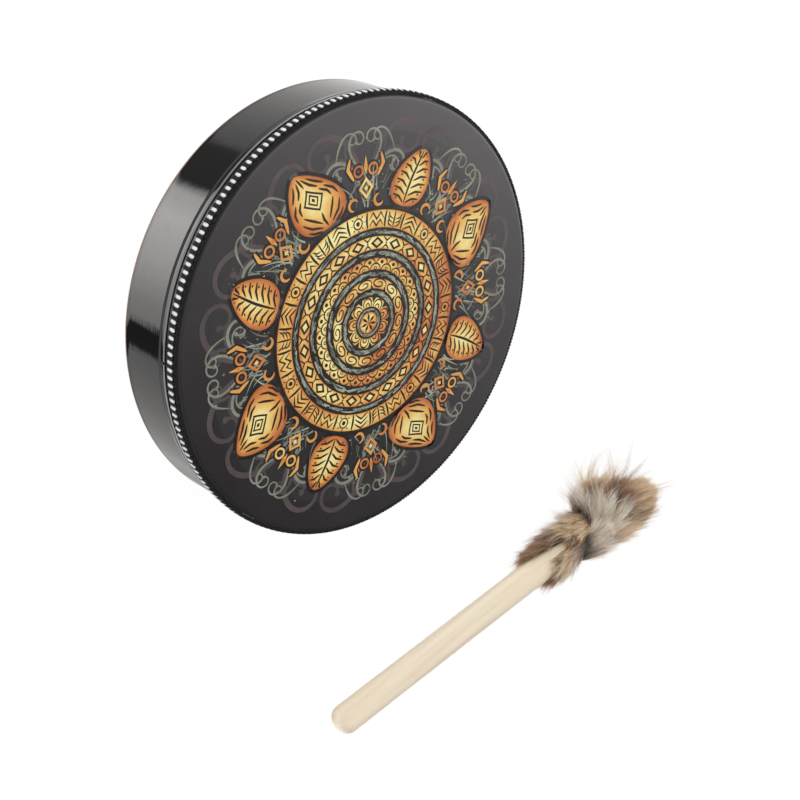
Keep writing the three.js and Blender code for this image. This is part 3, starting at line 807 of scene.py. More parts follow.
# Lines (copies, k, 2) become ribbons: each corner is shifted along its mitre by half the width.
def strokeInk(colour, lines, width, closed=False, glow=0.5):
    lines = np.asarray(lines, float)
    copies, count = lines.shape[:2]
    step = np.roll(lines, -1, 1) - lines
    length = np.maximum(np.linalg.norm(step, axis=-1, keepdims=True), 1e-9)
    normalOut = np.stack([-step[..., 1], step[..., 0]], -1) / length
    normalIn = np.roll(normalOut, 1, 1)
    if not closed:
        normalIn[:, 0] = normalOut[:, 0]
        normalOut[:, -1] = normalIn[:, -1]
    mitre = normalIn + normalOut
    mitre /= np.maximum(np.linalg.norm(mitre, axis=-1, keepdims=True), 1e-6)
    stretch = 1 / np.maximum(np.sum(mitre * normalOut, -1, keepdims=True), 0.5)
    half = np.broadcast_to(np.asarray(width, float), lines.shape[:2])[..., None] / 2
    offset = mitre * stretch * half
    points = np.stack([lines - offset, lines + offset], 2)
    # cells run along the line, from its right side to its left
    faces = repeatedFaces(gridFaces(count, 2, closed, False), copies, count * 2)
    glow = np.broadcast_to(np.asarray(glow, float), lines.shape[:2])[..., None] + np.zeros(2)
    addInk(colour, points, faces, glow, 0.008 * np.linspace(0, 1, count)[None, :, None])


# More points along a line, so that it can follow a curved map.
def dense(points, step=0.12, closed=False):
    points = np.array(points, float)
    if closed:
        points = np.concatenate([points, points[:1]])
    lengths = np.linalg.norm(np.diff(points, axis=0), axis=1)
    parts = []
    for start, end, length in zip(points[:-1], points[1:], lengths):
        count = max(1, int(math.ceil(length / step)))
        parts.append(start + (end - start) * np.arange(count)[:, None] / count)
    if not closed:
        parts.append(points[-1:])
    return np.concatenate(parts)


# An arc between two angles in degrees: x goes by the cosine, y by the sine times a squash.
def arcPoints(centre, radius, start, end, count=12, squash=1.0):
    turn = np.radians(np.linspace(start, end, count))
    return np.stack([centre[0] + radius * np.cos(turn), centre[1] + radius * squash * np.sin(turn)], 1)


# Points turned about the head's centre to each of the angles, in degrees.
def turned(points, angles):
    x, y = np.asarray(points, float).T[:, None]
    a = np.radians(np.asarray(angles, float))[:, None]
    return np.stack([x * np.cos(a) - y * np.sin(a), x * np.sin(a) + y * np.cos(a)], -1)


# Cell coordinates (across 0 to 1, up 0 to 1) carried to every cell of a ring.
def onRing(cell, ring):
    cell = np.asarray(cell, float)
    angle = 2 * np.pi * (np.arange(ring["count"])[:, None] + cell[None, :, 0]) / ring["count"]
    radius = ring["from"] + (ring["to"] - ring["from"]) * cell[None, :, 1]
    return np.stack([radius * np.cos(angle), radius * np.sin(angle)], -1)


# Width of a brush stroke that is thin at both ends.
def blade(path, width):
    return width * (0.25 + 0.75 * np.sin(np.pi * np.linspace(0, 1, len(path))) ** 0.6)


# A dark brush line in every cell of a ring.
def carve(ring, path, width=1.0, closed=False):
    path = dense(path, 0.08, closed)
    strokeInk("line", onRing(path, ring), width if closed else blade(path, width), closed)


# A flat band between two radii. Its glow is one value, or a function of angle and share across.
def ringBand(colour, inner, outer, glow=None, steps=240, rows=7):
    angle = np.linspace(0, 2 * np.pi, steps, endpoint=False)[:, None]
    radius = np.linspace(outer, inner, rows)[None, :]
    points = np.stack([radius * np.cos(angle), radius * np.sin(angle)], -1)
    value = 0.5 if glow is None else glow(angle, np.linspace(1, 0, rows)[None, :])
    value = np.asarray(value)[None] + 0 * points[None, ..., 0]
    addInk(colour, points[None], gridFaces(steps, rows, True, False), value)


# Brighter along the middle of a band, and in a few places round it.
def bandGlow(seed):
    phase = np.random.default_rng(seed).uniform(0, 2 * np.pi, 3)

    def glow(angle, across):
        drift = np.sin(angle + 2.4) + np.sin(2 * angle + phase[0]) + 0.7 * np.sin(5 * angle + phase[1])
        return 0.24 + 0.42 * (1 - (2 * across - 1) ** 2) + 0.15 * drift

    return glow


# Two half circles in each cell, drawn upwards, and a dark wedge between cells.
def drawArches(ring):
    carve(ring, arcPoints((0.5, 0.05), 0.42, 0, 180, 14, 1.9), 0.9)
    carve(ring, arcPoints((0.5, 0.05), 0.2, 0, 180, 10, 1.9), 0.75)
    fillInk("line", onRing([(-0.17, 1.0), (0, 0.4), (0.17, 1.0)], ring))


# A row of waves, each a line that climbs and winds in on itself.
def drawWaves(ring):
    t = np.linspace(0, 1, 34)
    turn = np.radians(215 - 560 * t)
    reach = 0.46 * (1 - t) ** 0.8 + 0.06
    carve(ring, np.stack([0.54 + reach * np.cos(turn), 0.5 + reach * 0.9 * np.sin(turn)], 1), 1.0)
    fillInk("line", onRing([(0.86, 0.04), (1.1, 0.04), (1.06, 0.42)], ring))


# Two rows of half circles that are half a cell apart, with a dark spot in each.
def drawScales(ring):
    for side, low in ((0.5, 0.0), (0.0, 0.46)):
        carve(ring, arcPoints((side, low), 0.46, 0, 180, 14, 1.15), 0.95)
        fillInk("line", onRing(arcPoints((side, low + 0.18), 0.13, 0, 330, 12, 1.1), ring))
    fillInk("accent", onRing(arcPoints((0.5, 0.18), 0.06, 0, 300, 6, 1.1), ring), 0.9)


# A dark lozenge round a bright one round a dark one, with points from both edges between them.
def drawLozenges(ring):
    fillInk("line", onRing([(0.5, 0.08), (0.84, 0.5), (0.5, 0.92), (0.16, 0.5)], ring))
    fillInk("accent", onRing([(0.5, 0.28), (0.68, 0.5), (0.5, 0.72), (0.32, 0.5)], ring), 0.8)
    fillInk("line", onRing([(0.5, 0.42), (0.57, 0.5), (0.5, 0.58), (0.43, 0.5)], ring))
    for low, high in ((0.06, 0.36), (0.94, 0.64)):
        carve(ring, [(-0.2, low), (0.0, high), (0.2, low)], 1.0)
    fillInk("line", onRing(arcPoints((0, 0.5), 0.05, 0, 300, 8, 1.2), ring))


# Four kinds of panel by turns: a sun, nested points, a feather and a zigzag.
def drawPanels(ring):
    # a kind of panel takes its quarter of the ring's cell
    def panel(kind, path):
        path = np.array(path, float)
        path[:, 0] = (path[:, 0] + kind) / 4
        return path

    for kind in range(4):
        carve(ring, panel(kind, [(0.0, 0.06), (0.03, 0.5), (0.0, 0.94)]), 1.5)
    carve(ring, panel(0, arcPoints((0.5, 0.5), 0.22, 0, 345, 20, 1.25)), 0.85, True)
    fillInk("line", onRing(panel(0, arcPoints((0.5, 0.5), 0.1, 0, 330, 10, 1.25)), ring))
    for turn in range(0, 360, 45):
        c, s = math.cos(math.radians(turn)), math.sin(math.radians(turn))
        carve(ring, panel(0, [(0.5 + 0.28 * c, 0.5 + 0.34 * s), (0.5 + 0.4 * c, 0.5 + 0.46 * s)]), 1.0)
    for low in (0.08, 0.34, 0.6):
        carve(ring, panel(1, [(0.12, low), (0.5, low + 0.3), (0.88, low)]), 1.1)
    carve(ring, panel(2, [(0.5, 0.06), (0.52, 0.94)]), 1.1)
    for low in (0.1, 0.3, 0.5):
        for hand in (-1, 1):
            carve(ring, panel(2, [(0.5 + 0.05 * hand, low), (0.5 + 0.28 * hand, low + 0.12),
                                  (0.5 + 0.38 * hand, low + 0.36)]), 1.0)
    carve(ring, panel(3, [(0.1, 0.5), (0.3, 0.84), (0.5, 0.5), (0.7, 0.84), (0.9, 0.5)]), 1.0)
    carve(ring, panel(3, [(0.1, 0.16), (0.3, 0.46), (0.5, 0.16), (0.7, 0.46), (0.9, 0.16)]), 1.0)


rings = [
    {"from": 9.0, "to": 15.6, "count": 9, "draw": drawArches},
    {"from": 19.6, "to": 26.6, "count": 13, "draw": drawWaves},
    {"from": 30.6, "to": 38.2, "count": 24, "draw": drawScales},
    {"from": 42.4, "to": 50.6, "count": 21, "draw": drawLozenges},
    {"from": 54.4, "to": 65.4, "count": 7, "draw": drawPanels},
]


# Inner and outer radius of the dark gaps between the bands, and the blades of grass in each.
grassGaps = [(6.9, 8.4, 20), (16.3, 18.9, 40), (27.3, 29.9, 56), (38.9, 41.7, 76), (51.3, 53.7, 96)]


# Blades along a gap: their angle and radius change evenly, and their width falls with the square of
# the way along.
def drawGrass(inner, outer, count, brightness):
    start = draw.uniform(0, 2 * np.pi, count)[:, None]
    hand = draw.choice([-1, 1], count)[:, None]
    t = np.linspace(0, 1, 7)[None, :]
    angle = start + hand * draw.uniform(3.0, 8.0, count)[:, None] / inner * t
    ends = draw.uniform(0.02, 0.98, (count, 2))
    radius = inner + (outer - inner) * (ends[:, :1] * (1 - t) + ends[:, 1:] * t)
    lines = np.stack([radius * np.cos(angle), radius * np.sin(angle)], -1)
    glow = draw.uniform(0.3, 1.0, count)[:, None] * brightness
    strokeInk("hatch", lines, 0.85 * (1 - t ** 2) + 0.06, glow=glow)


# A dark disc, a veil that deepens outwards, a gold flower and five gold bands with dark edges.
def drawMedallion():
    ringBand("ground", 0.3, 67.2, rows=3)
    ringBand("veil", 66, 108, lambda angle, across: across ** 1.5 + 0 * angle)
    ringBand("gold", 0.3, 6.2, bandGlow(3), 90)
    petals = {"from": 0, "to": 6.2, "count": 7}
    fillInk("line", onRing([(0, 0.1), (0.3, 0.55), (0, 0.95), (-0.3, 0.55)], petals))
    for number, ring in enumerate(rings):
        ringBand("gold", ring["from"], ring["to"], bandGlow(10 + number))
        ring["draw"](ring)
        for edge in (ring["from"], ring["to"]):
            ringBand("line", edge - 0.55, edge + 0.55, rows=2)
    for gap in grassGaps:
        for brightness in (1.0, 1.0, 0.3):
            drawGrass(*gap, brightness)


# A leaf from one radius to another, bent sideways: t runs along it and v across, -1 to 1.
def onLeaf(leaf, cell):
    t, v = np.asarray(cell, float).T
    width = leaf["half"] * np.sin(np.pi * np.clip(t, 0, 1) ** leaf["belly"]) ** leaf["full"]
    radius = leaf["from"] + (leaf["to"] - leaf["from"]) * t
    return turned(np.stack([radius, v * width + leaf["bend"] * t ** 1.6], 1), leaf["angles"])


leaves = [
    {"from": 67.6, "to": 106.0, "half": 17.5, "belly": 0.62, "full": 0.62, "bend": 9.0,
     "angles": (10, 100, 190, 280)},
    {"from": 67.6, "to": 101.0, "half": 13.5, "belly": 0.7, "full": 0.55, "bend": -5.0,
     "angles": (55, 145, 235, 325)},
]


# A dark edge, and gold that is yellow in the middle: its glow falls with the square of v and goes by
# a sine along the leaf.
def drawLeaf(leaf):
    steps, rows = 40, 11
    t = np.linspace(0.0, 1.0, steps)
    edge = np.concatenate([np.stack([t, -np.ones(steps)], 1), np.stack([t[::-1], np.ones(steps)], 1)])
    strokeInk("ground", onLeaf(leaf, edge), 4.2, True)
    cellT, cellV = np.meshgrid(t, np.linspace(1, -1, rows), indexing="ij")
    grid = onLeaf(leaf, np.stack([cellT.ravel(), cellV.ravel()], 1))
    glow = 0.08 + 0.80 * (1 - cellV ** 2) * np.sin(np.pi * cellT) ** 0.7
    copies = len(leaf["angles"])
    faces = repeatedFaces(gridFaces(steps, rows)[:, ::-1], copies, steps * rows)
    addInk("gold", grid, faces, np.broadcast_to(glow.ravel(), (copies, steps * rows)))


# A dark brush line on every leaf of a kind.
def carveLeaf(leaf, path, width=1.2, closed=False):
    path = dense(path, 0.05, closed)
    strokeInk("line", onLeaf(leaf, path), width if closed else blade(path, width), closed)


# An eye in the middle with brush strokes that fan out to the edge and the tip.
def drawEyeLeaf(leaf):
    drawLeaf(leaf)
    carveLeaf(leaf, [(0.34, 0), (0.52, 0.40), (0.70, 0), (0.52, -0.40)], 1.1, True)
    carveLeaf(leaf, [(0.42, 0), (0.52, 0.20), (0.62, 0), (0.52, -0.20)], 0.9, True)
    fillInk("line", onLeaf(leaf, [(0.48, 0), (0.52, 0.07), (0.56, 0), (0.52, -0.07)]))
    carveLeaf(leaf, [(0.76, 0.0), (0.95, 0.0)], 1.3)
    carveLeaf(leaf, [(0.04, 0.0), (0.16, 0.05), (0.28, 0.0)], 1.6)
    for hand in (-1, 1):
        for start, middle, end in [((0.06, 0.3), (0.16, 0.62), (0.30, 0.78)),
                                   ((0.12, 0.18), (0.24, 0.38), (0.38, 0.62)),
                                   ((0.38, 0.84), (0.50, 0.84), (0.62, 0.70)),
                                   ((0.42, 0.62), (0.52, 0.62), (0.62, 0.46)),
                                   ((0.66, 0.82), (0.76, 0.68), (0.88, 0.60)),
                                   ((0.66, 0.52), (0.76, 0.34), (0.90, 0.26)),
                                   ((0.02, 0.6), (0.07, 0.8), (0.14, 0.84))]:
            carveLeaf(leaf, [(start[0], start[1] * hand), (middle[0], middle[1] * hand),
                             (end[0], end[1] * hand)], 1.5)


# A midrib, arching veins and a bead between each pair.
def drawVeinLeaf(leaf):
    drawLeaf(leaf)
    carveLeaf(leaf, [(0.05, 0.0), (0.5, 0.03), (0.96, 0.0)], 1.6)
    for at in np.arange(0.06, 0.85, 0.13):
        for hand in (-1, 1):
            carveLeaf(leaf, [(at, 0.1 * hand), (at + 0.09, 0.45 * hand), (at + 0.11, 0.84 * hand)], 1.4)
            bead = arcPoints((at + 0.055, 0.66 * hand), 0.018, 0, 300, 8)
            bead[:, 1] = 0.66 * hand + (bead[:, 1] - 0.66 * hand) * 3.5
            fillInk("line", onLeaf(leaf, bead))


# A scroll that sets off with a wide bend and winds up tightly: its heading, which is the start
# heading plus wide t plus tight t cubed, is summed along its length. It ends in a ball.
def scroll(colour, start, heading, length, hand, width, angles, wide, tight):
    steps = 90
    t = np.linspace(0, 1, steps)
    curve = heading + hand * (wide * t + tight * t ** 3)
    x = start[0] + np.cumsum(np.cos(curve)) * length / steps
    y = start[1] + np.cumsum(np.sin(curve)) * length / steps
    brush = width * np.minimum(0.2 + 2.6 * t, 1) * (1 - 0.6 * t)
    strokeInk(colour, turned(np.stack([x, y], 1), angles), brush, glow=t)
    fillInk(colour, turned(arcPoints((x[-1], y[-1]), 0.42 * width, 0, 340, 16), angles))


# Scrolls that wind both ways out of each space between two leaves.
def drawScrolls():
    slots, gaps = np.arange(8) * 45.0 + 32.5, np.arange(8) * 45.0 + 10
    for hand in (-1, 1):
        scroll("mauve", (82, 2 * hand), 0.2 * hand, 80, hand, 4.6, slots, 1.4, 5.0)
        scroll("mauve", (76, 5 * hand), 0.1 * hand, 54, hand, 3.0, slots, 1.2, 5.6)
        scroll("mauve", (86, 2 * hand), 0.95 * hand, 40, -hand, 2.6, slots, 0.4, 5.6)
        scroll("green", (70, 2 * hand), 0.15 * hand, 62, hand, 2.8, slots, 0.8, 6.2)
        scroll("green", (86, 0), 0.85 * hand, 44, -hand, 2.0, slots, 0.5, 5.8)
        scroll("green", (78, 3 * hand), 0.45 * hand, 40, hand, 1.6, slots, 0.4, 5.6)
        scroll("green", (98, 4 * hand), 0.5 * hand, 32, hand, 1.7, gaps + 8 * hand, 0.4, 5.6)


# A small ring of gold with a dark edge on both sides.
def frameInk(points, width, angles):
    outline = turned(points, angles)
    strokeInk("ground", outline, width + 2.4, True)
    strokeInk("gold", outline, width, True, draw.uniform(0.1, 0.7, (len(outline), 1)))


# Small carved pieces and grass in the spaces between the leaves.
def drawFillers():
    slots = np.arange(8) * 45.0 + 32.5
    frameInk([(73.5, 0), (78.5, 4.2), (83.5, 0), (78.5, -4.2)], 1.5, slots)
    fillInk("gold", turned([(76.9, 0), (78.5, 1.4), (80.1, 0), (78.5, -1.4)], slots), 0.7)
    for hand in (-1, 1):
        frameInk(arcPoints((88.5, 5.2 * hand), 2.9, 0, 340, 18), 1.3, slots)
        hook = arcPoints((70.5, 9.0 * hand), 3.2, 90 - 150 * hand, 90 + 90 * hand, 14)
        strokeInk("ground", turned(hook, slots), 3.6)
        strokeInk("gold", turned(hook, slots), blade(hook, 1.8), glow=0.35)
        horn = [(84.0, 8.5 * hand), (90.5, 12.5 * hand), (96.5, 11.0 * hand)]
        strokeInk("ground", turned(horn, slots), 4.2)
        strokeInk("gold", turned(dense(horn, 1.0), slots), blade(dense(horn, 1.0), 2.2), glow=0.45)
    fillInk("gold", turned([(86.5, 0), (90.0, 1.5), (96.5, 0), (90.0, -1.5)], slots), [0.2, 0.7, 0.3, 0.7])
    count = 26
    for slot in slots:
        t = np.linspace(0, 1, 8)[None, :]
        aside = draw.normal(0, 7.5, (count, 1))
        lean = draw.normal(0, 0.45, (count, 2))
        length = draw.uniform(6, 17, (count, 1))
        x = 67.5 + draw.uniform(0, 12, (count, 1)) + length * t * np.cos(lean[:, :1])
        y = aside + length * (t * np.sin(lean[:, :1]) + lean[:, 1:] * t ** 2)
        a = np.radians(slot)
        lines = np.stack([x * np.cos(a) - y * np.sin(a), x * np.sin(a) + y * np.cos(a)], -1)
        strokeInk("hatch", lines, 1.0 * (1 - t) ** 0.7 + 0.05, glow=draw.uniform(0.1, 0.9, (count, 1)))


# Small triangles of pale ink. Their distance from the centre follows a beta distribution.
def drawSparks():
    count = 300
    radius = 68 + 44 * draw.beta(1.3, 2.0, count)
    angle = draw.uniform(0, 2 * np.pi, count)
    size = draw.uniform(0.25, 0.75, count)[:, None]
    turn = draw.uniform(0, 2 * np.pi, count)[:, None] + np.array([[0, 2.1, 4.2]])
    centre = np.stack([radius * np.cos(angle), radius * np.sin(angle)], -1)[:, None]
    shapes = centre + size[..., None] * np.stack([np.cos(turn) * 1.6, np.sin(turn)], -1)
    fillInk("hatch", shapes, draw.uniform(0, 1, count)[:, None])


veilStops = [(0.1, (0.0035, 0.003, 0.0025)), (0.9, (0.0165, 0.014, 0.015))]
goldStops = [(0.0, (0.36, 0.085, 0.022)), (0.28, (0.60, 0.21, 0.055)), (0.58, (0.80, 0.45, 0.11)),
             (0.92, (0.93, 0.84, 0.36))]
inkFinish = {
    "veil": makeInk("inkVeil", veilStops, True, 30, 0.5),
    "mauve": makeInk("inkMauve", [(0.2, (0.050, 0.038, 0.040)), (0.8, (0.105, 0.080, 0.080))], scale=45),
    "green": makeInk("inkGreen", [(0.2, (0.10, 0.105, 0.08)), (0.8, (0.33, 0.35, 0.27))], scale=60),
    "ground": makeInk("inkGround", [(0.3, (0.006, 0.005, 0.004)), (0.8, (0.012, 0.009, 0.007))]),
    "hatch": makeInk("inkHatch", [(0.1, (0.05, 0.05, 0.045)), (0.9, (0.38, 0.42, 0.33))], True),
    "gold": makeInk("inkGold", goldStops, True, 60),
    "line": makeInk("inkLine", [(0.3, (0.010, 0.006, 0.004)), (0.8, (0.020, 0.012, 0.007))]),
    "accent": makeInk("inkAccent", goldStops, True),
}


# Draws every shape, then joins the shapes of each colour to one mesh.
def makePrint():
    drawScrolls()
    drawMedallion()
    drawEyeLeaf(leaves[0])
    drawVeinLeaf(leaves[1])
    drawFillers()
    drawSparks()
    for colour, shapes in inkShapes.items():
        bySide, offset = {}, 0
        for spots, faces, glow in shapes:
            bySide.setdefault(faces.shape[1], []).append(faces + offset)
            offset += len(spots)
        sets = [np.concatenate(group) for group in bySide.values()]
        points = np.concatenate([spots for spots, faces, glow in shapes])
        thing = meshObject("print" + colour.capitalize(), points + drumAt, sets)
        writeValue(thing, "glow", np.concatenate([glow for spots, faces, glow in shapes]))
        place(thing, inkFinish[colour], "drum")


makePrint()
print("print made")


# The beater's butt is a reach away from the drum's centre, and the stick is tilted a little.
beater = {"reach": (68.0, 305.0, 10.337), "tilt": math.radians(1.8755)}


# Local (up, side, along the stick from its butt) to the row frame. The butt is placed from the drum.
def fromBeater(local):
    local = np.asarray(local, float)
    c, s = math.cos(beater["tilt"]), math.sin(beater["tilt"])
    up, side, along = local[..., 0], local[..., 1], local[..., 2]
    return np.stack([up * s - along * c, side, up * c + along * s], -1) + drumAt + beater["reach"]


# A profile [radius, station] turned about the stick's axis.
def stickLathe(name, profile, sides):
    profile = np.array(profile, float)
    turn = np.linspace(0, 2 * np.pi, sides, endpoint=False)[:, None]
    local = np.stack([profile[None, :, 0] * np.cos(turn), profile[None, :, 0] * np.sin(turn),
                      profile[None, :, 1] + 0 * turn], -1)
    faces = gridFaces(sides, len(profile), True, False)
    return closePoles(meshObject(name, fromBeater(local).reshape(-1, 3), [faces]))


stick = {"radius": 10.6, "length": 294.0, "buttRound": 8.0}


# A butt that is rounded by a quarter of a circle, an even shaft and an end with a small chamfer.
def makeStick(part):
    r, b, tip = part["radius"], part["buttRound"], part["length"]
    turn = np.radians(np.linspace(-90, 0, 13))
    butt = np.stack([r - b + b * np.cos(turn), b + b * np.sin(turn)], 1)
    body = [(r, s) for s in (9, 12, 60, 120, 180, 240, tip - 2)]
    end = [(r, tip - 1.2), (r - 0.3, tip - 0.4), (r - 1, tip), (0, tip)]
    profile = np.concatenate([[(0, 0)], butt, body, end])
    thing = stickLathe("beaterStick", profile, 64)
    place(thing, makeBeech(beechLook, beater["tilt"]), "beater", ["beater_stick"])


pad = {"bore": 10.9, "radius": 16.2, "start": 257.0, "end": 308.0, "round": 11.0, "floor": 294.3}


# A cup of felt over the end of the stick, with a nose that is a quarter of a circle.
def makePad(part):
    turn = np.radians(np.linspace(0, 90, 9))
    r, b, start = part["radius"], part["round"], part["start"]
    nose = np.stack([r - b + b * np.cos(turn), part["end"] - b + b * np.sin(turn)], 1)
    body = [(0, part["floor"]), (part["bore"], part["floor"]), (part["bore"], start + 19),
            (part["bore"], start), (r - 4.2, start + 0.2), (r - 1.6, start + 2.8), (r, start + 5.8),
            (r, start + 17), (r, start + 37)]
    thing = stickLathe("padFelt", np.concatenate([body, nose, [(0, part["end"])]]), 48)
    place(thing, greyFelt, "beater", ["pad_core"])


tie = {"radius": 13.9, "cord": 0.8, "turns": 3, "pitch": 2.1, "station": 248.0}


# Three plies twisted into a cord: the section's radius swells three times round and turns along it.
def makeTie(part):
    steps, sides = 240, 15
    t = np.linspace(0, 1, steps)
    angle = 2 * np.pi * part["turns"] * t
    station = part["station"] + part["turns"] * part["pitch"] * (t - 0.5)
    path = np.stack([part["radius"] * np.cos(angle), part["radius"] * np.sin(angle), station], 1)
    taper = np.clip(np.minimum(t, 1 - t) * 90, 0.02, 1) ** 0.5
    rings = tubePoints(path, 1.0, sides, normal=(0, 0, 1))
    twist = 2 * np.pi * np.arange(sides)[None, :] / sides - 110 * t[:, None]
    swell = part["cord"] * taper[:, None] * (0.88 + 0.12 * np.abs(np.cos(1.5 * twist)))
    points = path[:, None] + (rings - path[:, None]) * swell[..., None]
    ends = [np.arange(sides)[None, ::-1], np.arange(sides)[None] + (steps - 1) * sides]
    faces = gridFaces(steps, sides, False, True)[:, ::-1]
    thing = meshObject("tieCord", fromBeater(points).reshape(-1, 3), [faces, *ends])
    place(thing, waxedThread, "beater", ["tie_cord"])


makeStick(stick)
makePad(pad)
makeTie(tie)
print("beater made")


# The fur. Angles round it are in degrees from the line that faces the viewer, growing towards the floor
# side of the picture. Stations are millimetres along the stick from its butt.
fur = {"facing": math.radians(-39.8), "collar": 13.4, "groove": 12.9, "tie": 248.0, "rise": 252.5,
       "head": 18.8, "blunt": 290.0, "nose": 312.0, "bore": 10.92, "thin": 11.3, "overTie": 15.6,
       "swell": 1.2, "swellAt": 232.0, "swellWide": 10.0, "riseLong": 9.0, "grooveWide": 4.2,
       "upperAt": -80, "upperWide": 55, "edgeLong": 7.0, "meanRadius": 17, "floor": 0.3,
       "hideFloor": 0.15, "slowFrom": 316, "gatherFrom": 296, "gatherLong": 34, "strayShare": 0.07}
# The hide's edge along the stick, and the line where the hair parts at the tie.
furEdge = [(-180, 208), (-130, 203), (-95, 195), (-75, 197), (-60, 207), (-45, 221), (-28, 233),
           (-14, 228), (0, 219), (15, 212), (30, 209), (50, 211), (75, 206), (95, 203), (130, 206)]
furParting = [(-180, 248), (-95, 256), (-30, 255), (-5, 246), (8, 240), (40, 235), (85, 231),
              (125, 240)]
# The hide's lining from the nose back: radius and station.
furLining = [(0, 308.7), (6, 308.5), (12.9, 305), (15.5, 301), (16.6, 296.5), (16.7, 262.5),
             (15.4, 260), (13, 257.6), (fur["bore"], 256.6)]

# Tone of the hair at its root, middle and tip. The dark roots are partly the hair's own tone and partly
# painted shade deep in the fur.
furTones = {
    "cream": ((0.36, 0.26, 0.18), (0.93, 0.78, 0.61), (0.97, 0.92, 0.84)),
    "taupe": ((0.14, 0.10, 0.085), (0.72, 0.57, 0.47), (0.95, 0.86, 0.76)),
    "tan": ((0.14, 0.075, 0.04), (0.88, 0.58, 0.34), (0.95, 0.80, 0.60)),
    "brown": ((0.04, 0.020, 0.012), (0.20, 0.105, 0.058), (0.60, 0.38, 0.23)),
    "slate": ((0.09, 0.06, 0.055), (0.46, 0.33, 0.29), (0.80, 0.67, 0.60)),
}
toneNames = list(furTones)
toneTable = np.array([furTones[name] for name in toneNames])

# Tufts: degrees round, station, run along the stick, run across the view, lift off the skin,
# length, tone. Hair between them goes by how near it is to each.
headTufts = [
    (-95, 260, -0.1, 1.0, 0.3, 17, "taupe"), (-60, 258, -0.3, 1.0, 0.25, 24, "cream"),
    (-35, 257, -0.2, 1.0, 0.2, 24, "cream"), (-20, 253, 0.1, 0.9, 0.2, 20, "taupe"),
    (-80, 268, 0.3, 1.0, 0.3, 17, "tan"), (-55, 267, 0.3, 1.0, 0.2, 17, "brown"),
    (-35, 267, 0.4, 0.8, 0.12, 15, "brown"), (-25, 262, 0.45, 0.8, 0.15, 16, "cream"),
    (-75, 280, 0.8, 0.6, 0.2, 14, "tan"), (-45, 279, 0.8, 0.5, 0.2, 16, "brown"),
    (-60, 273, 0.6, 0.8, 0.2, 15, "tan"), (-92, 290, 1.0, 0.0, 0.04, 7, "cream"),
    (-60, 293, 1.0, 0.0, 0.04, 8, "cream"), (-30, 292, 1.0, -0.1, 0.08, 24, "tan"),
    (-10, 273, 1.0, -0.35, 0.08, 24, "brown"), (6, 280, 1.0, -0.3, 0.08, 24, "brown"),
    (15, 292, 1.0, -0.2, 0.08, 27, "tan"), (0, 286, 1.0, -0.2, 0.08, 25, "tan"),
    (-8, 261, 0.75, 0.5, 0.12, 18, "cream"), (8, 250, 0.9, 0.45, 0.15, 20, "cream"),
    (12, 262, 1.0, 0.15, 0.12, 22, "cream"), (30, 246, 0.95, 0.3, 0.2, 24, "taupe"),
    (38, 270, 1.0, 0.0, 0.1, 24, "tan"), (60, 238, 0.95, 0.0, 0.45, 26, "taupe"),
    (60, 254, 1.0, 0.05, 0.15, 26, "taupe"), (72, 276, 1.0, 0.0, 0.1, 22, "tan"),
    (50, 296, 1.0, -0.05, 0.06, 14, "brown"), (95, 240, 0.95, 0.0, 0.45, 26, "taupe"),
    (110, 262, 1.0, 0.0, 0.2, 24, "taupe"), (100, 294, 1.0, 0.0, 0.08, 14, "tan"),
    (150, 256, 1.0, 0.0, 0.25, 24, "taupe"), (180, 275, 1.0, 0.0, 0.18, 22, "tan"),
    (-150, 256, 0.9, 0.0, 0.3, 22, "brown"), (-140, 280, 1.0, 0.1, 0.2, 20, "cream"),
    (140, 300, 1.0, 0.0, 0.1, 14, "taupe"), (-150, 302, 1.0, 0.0, 0.15, 14, "tan"),
    (0, 309, 1.0, 0.0, 0.1, 18, "tan"), (-90, 309, 1.0, 0.0, 0.05, 6, "cream"),
]
collarTufts = [
    (-95, 252, -0.9, 0.5, 0.3, 22, "taupe"), (-60, 252, -1.0, 0.35, 0.2, 22, "tan"),
    (-35, 252, -1.0, 0.3, 0.16, 15, "tan"),
    (-92, 240, -1.0, 0.2, 0.3, 24, "slate"), (-85, 222, -1.0, 0.1, 0.26, 23, "brown"),
    (-80, 206, -1.0, 0.05, 0.14, 16, "brown"), (-60, 226, -1.0, 0.25, 0.14, 20, "brown"),
    (-62, 212, -1.0, 0.12, 0.1, 15, "brown"), (-60, 241, -1.0, 0.3, 0.25, 20, "tan"),
    (-35, 242, -1.0, 0.3, 0.16, 11, "tan"), (-20, 242, -1.0, 0.0, 0.12, 9, "tan"),
    (-8, 234, -1.0, -0.2, 0.12, 14, "brown"), (5, 228, -1.0, -0.1, 0.16, 20, "tan"),
    (22, 222, -1.0, -0.1, 0.16, 20, "tan"), (25, 233, -1.0, -0.1, 0.2, 18, "slate"),
    (10, 217, -1.0, 0.0, 0.1, 15, "brown"), (40, 218, -1.0, -0.05, 0.16, 17, "tan"),
    (58, 226, -1.0, -0.1, 0.2, 18, "taupe"), (62, 216, -1.0, -0.1, 0.15, 15, "brown"),
    (82, 216, -1.0, 0.0, 0.12, 15, "brown"), (95, 224, -1.0, 0.0, 0.2, 18, "taupe"),
    (150, 225, -1.0, 0.0, 0.25, 20, "tan"), (-140, 225, -1.0, 0.0, 0.3, 22, "slate"),
]


# A station round the fur from a few (degrees, station) points, smoothed over sixteen degrees.
def alongRound(table, facing):
    table = np.array(table, float)
    shifts = np.linspace(-8, 8, 5)
    degrees = np.degrees(facing)
    return np.mean([np.interp(degrees + s, table[:, 0], table[:, 1], period=360) for s in shifts], 0)


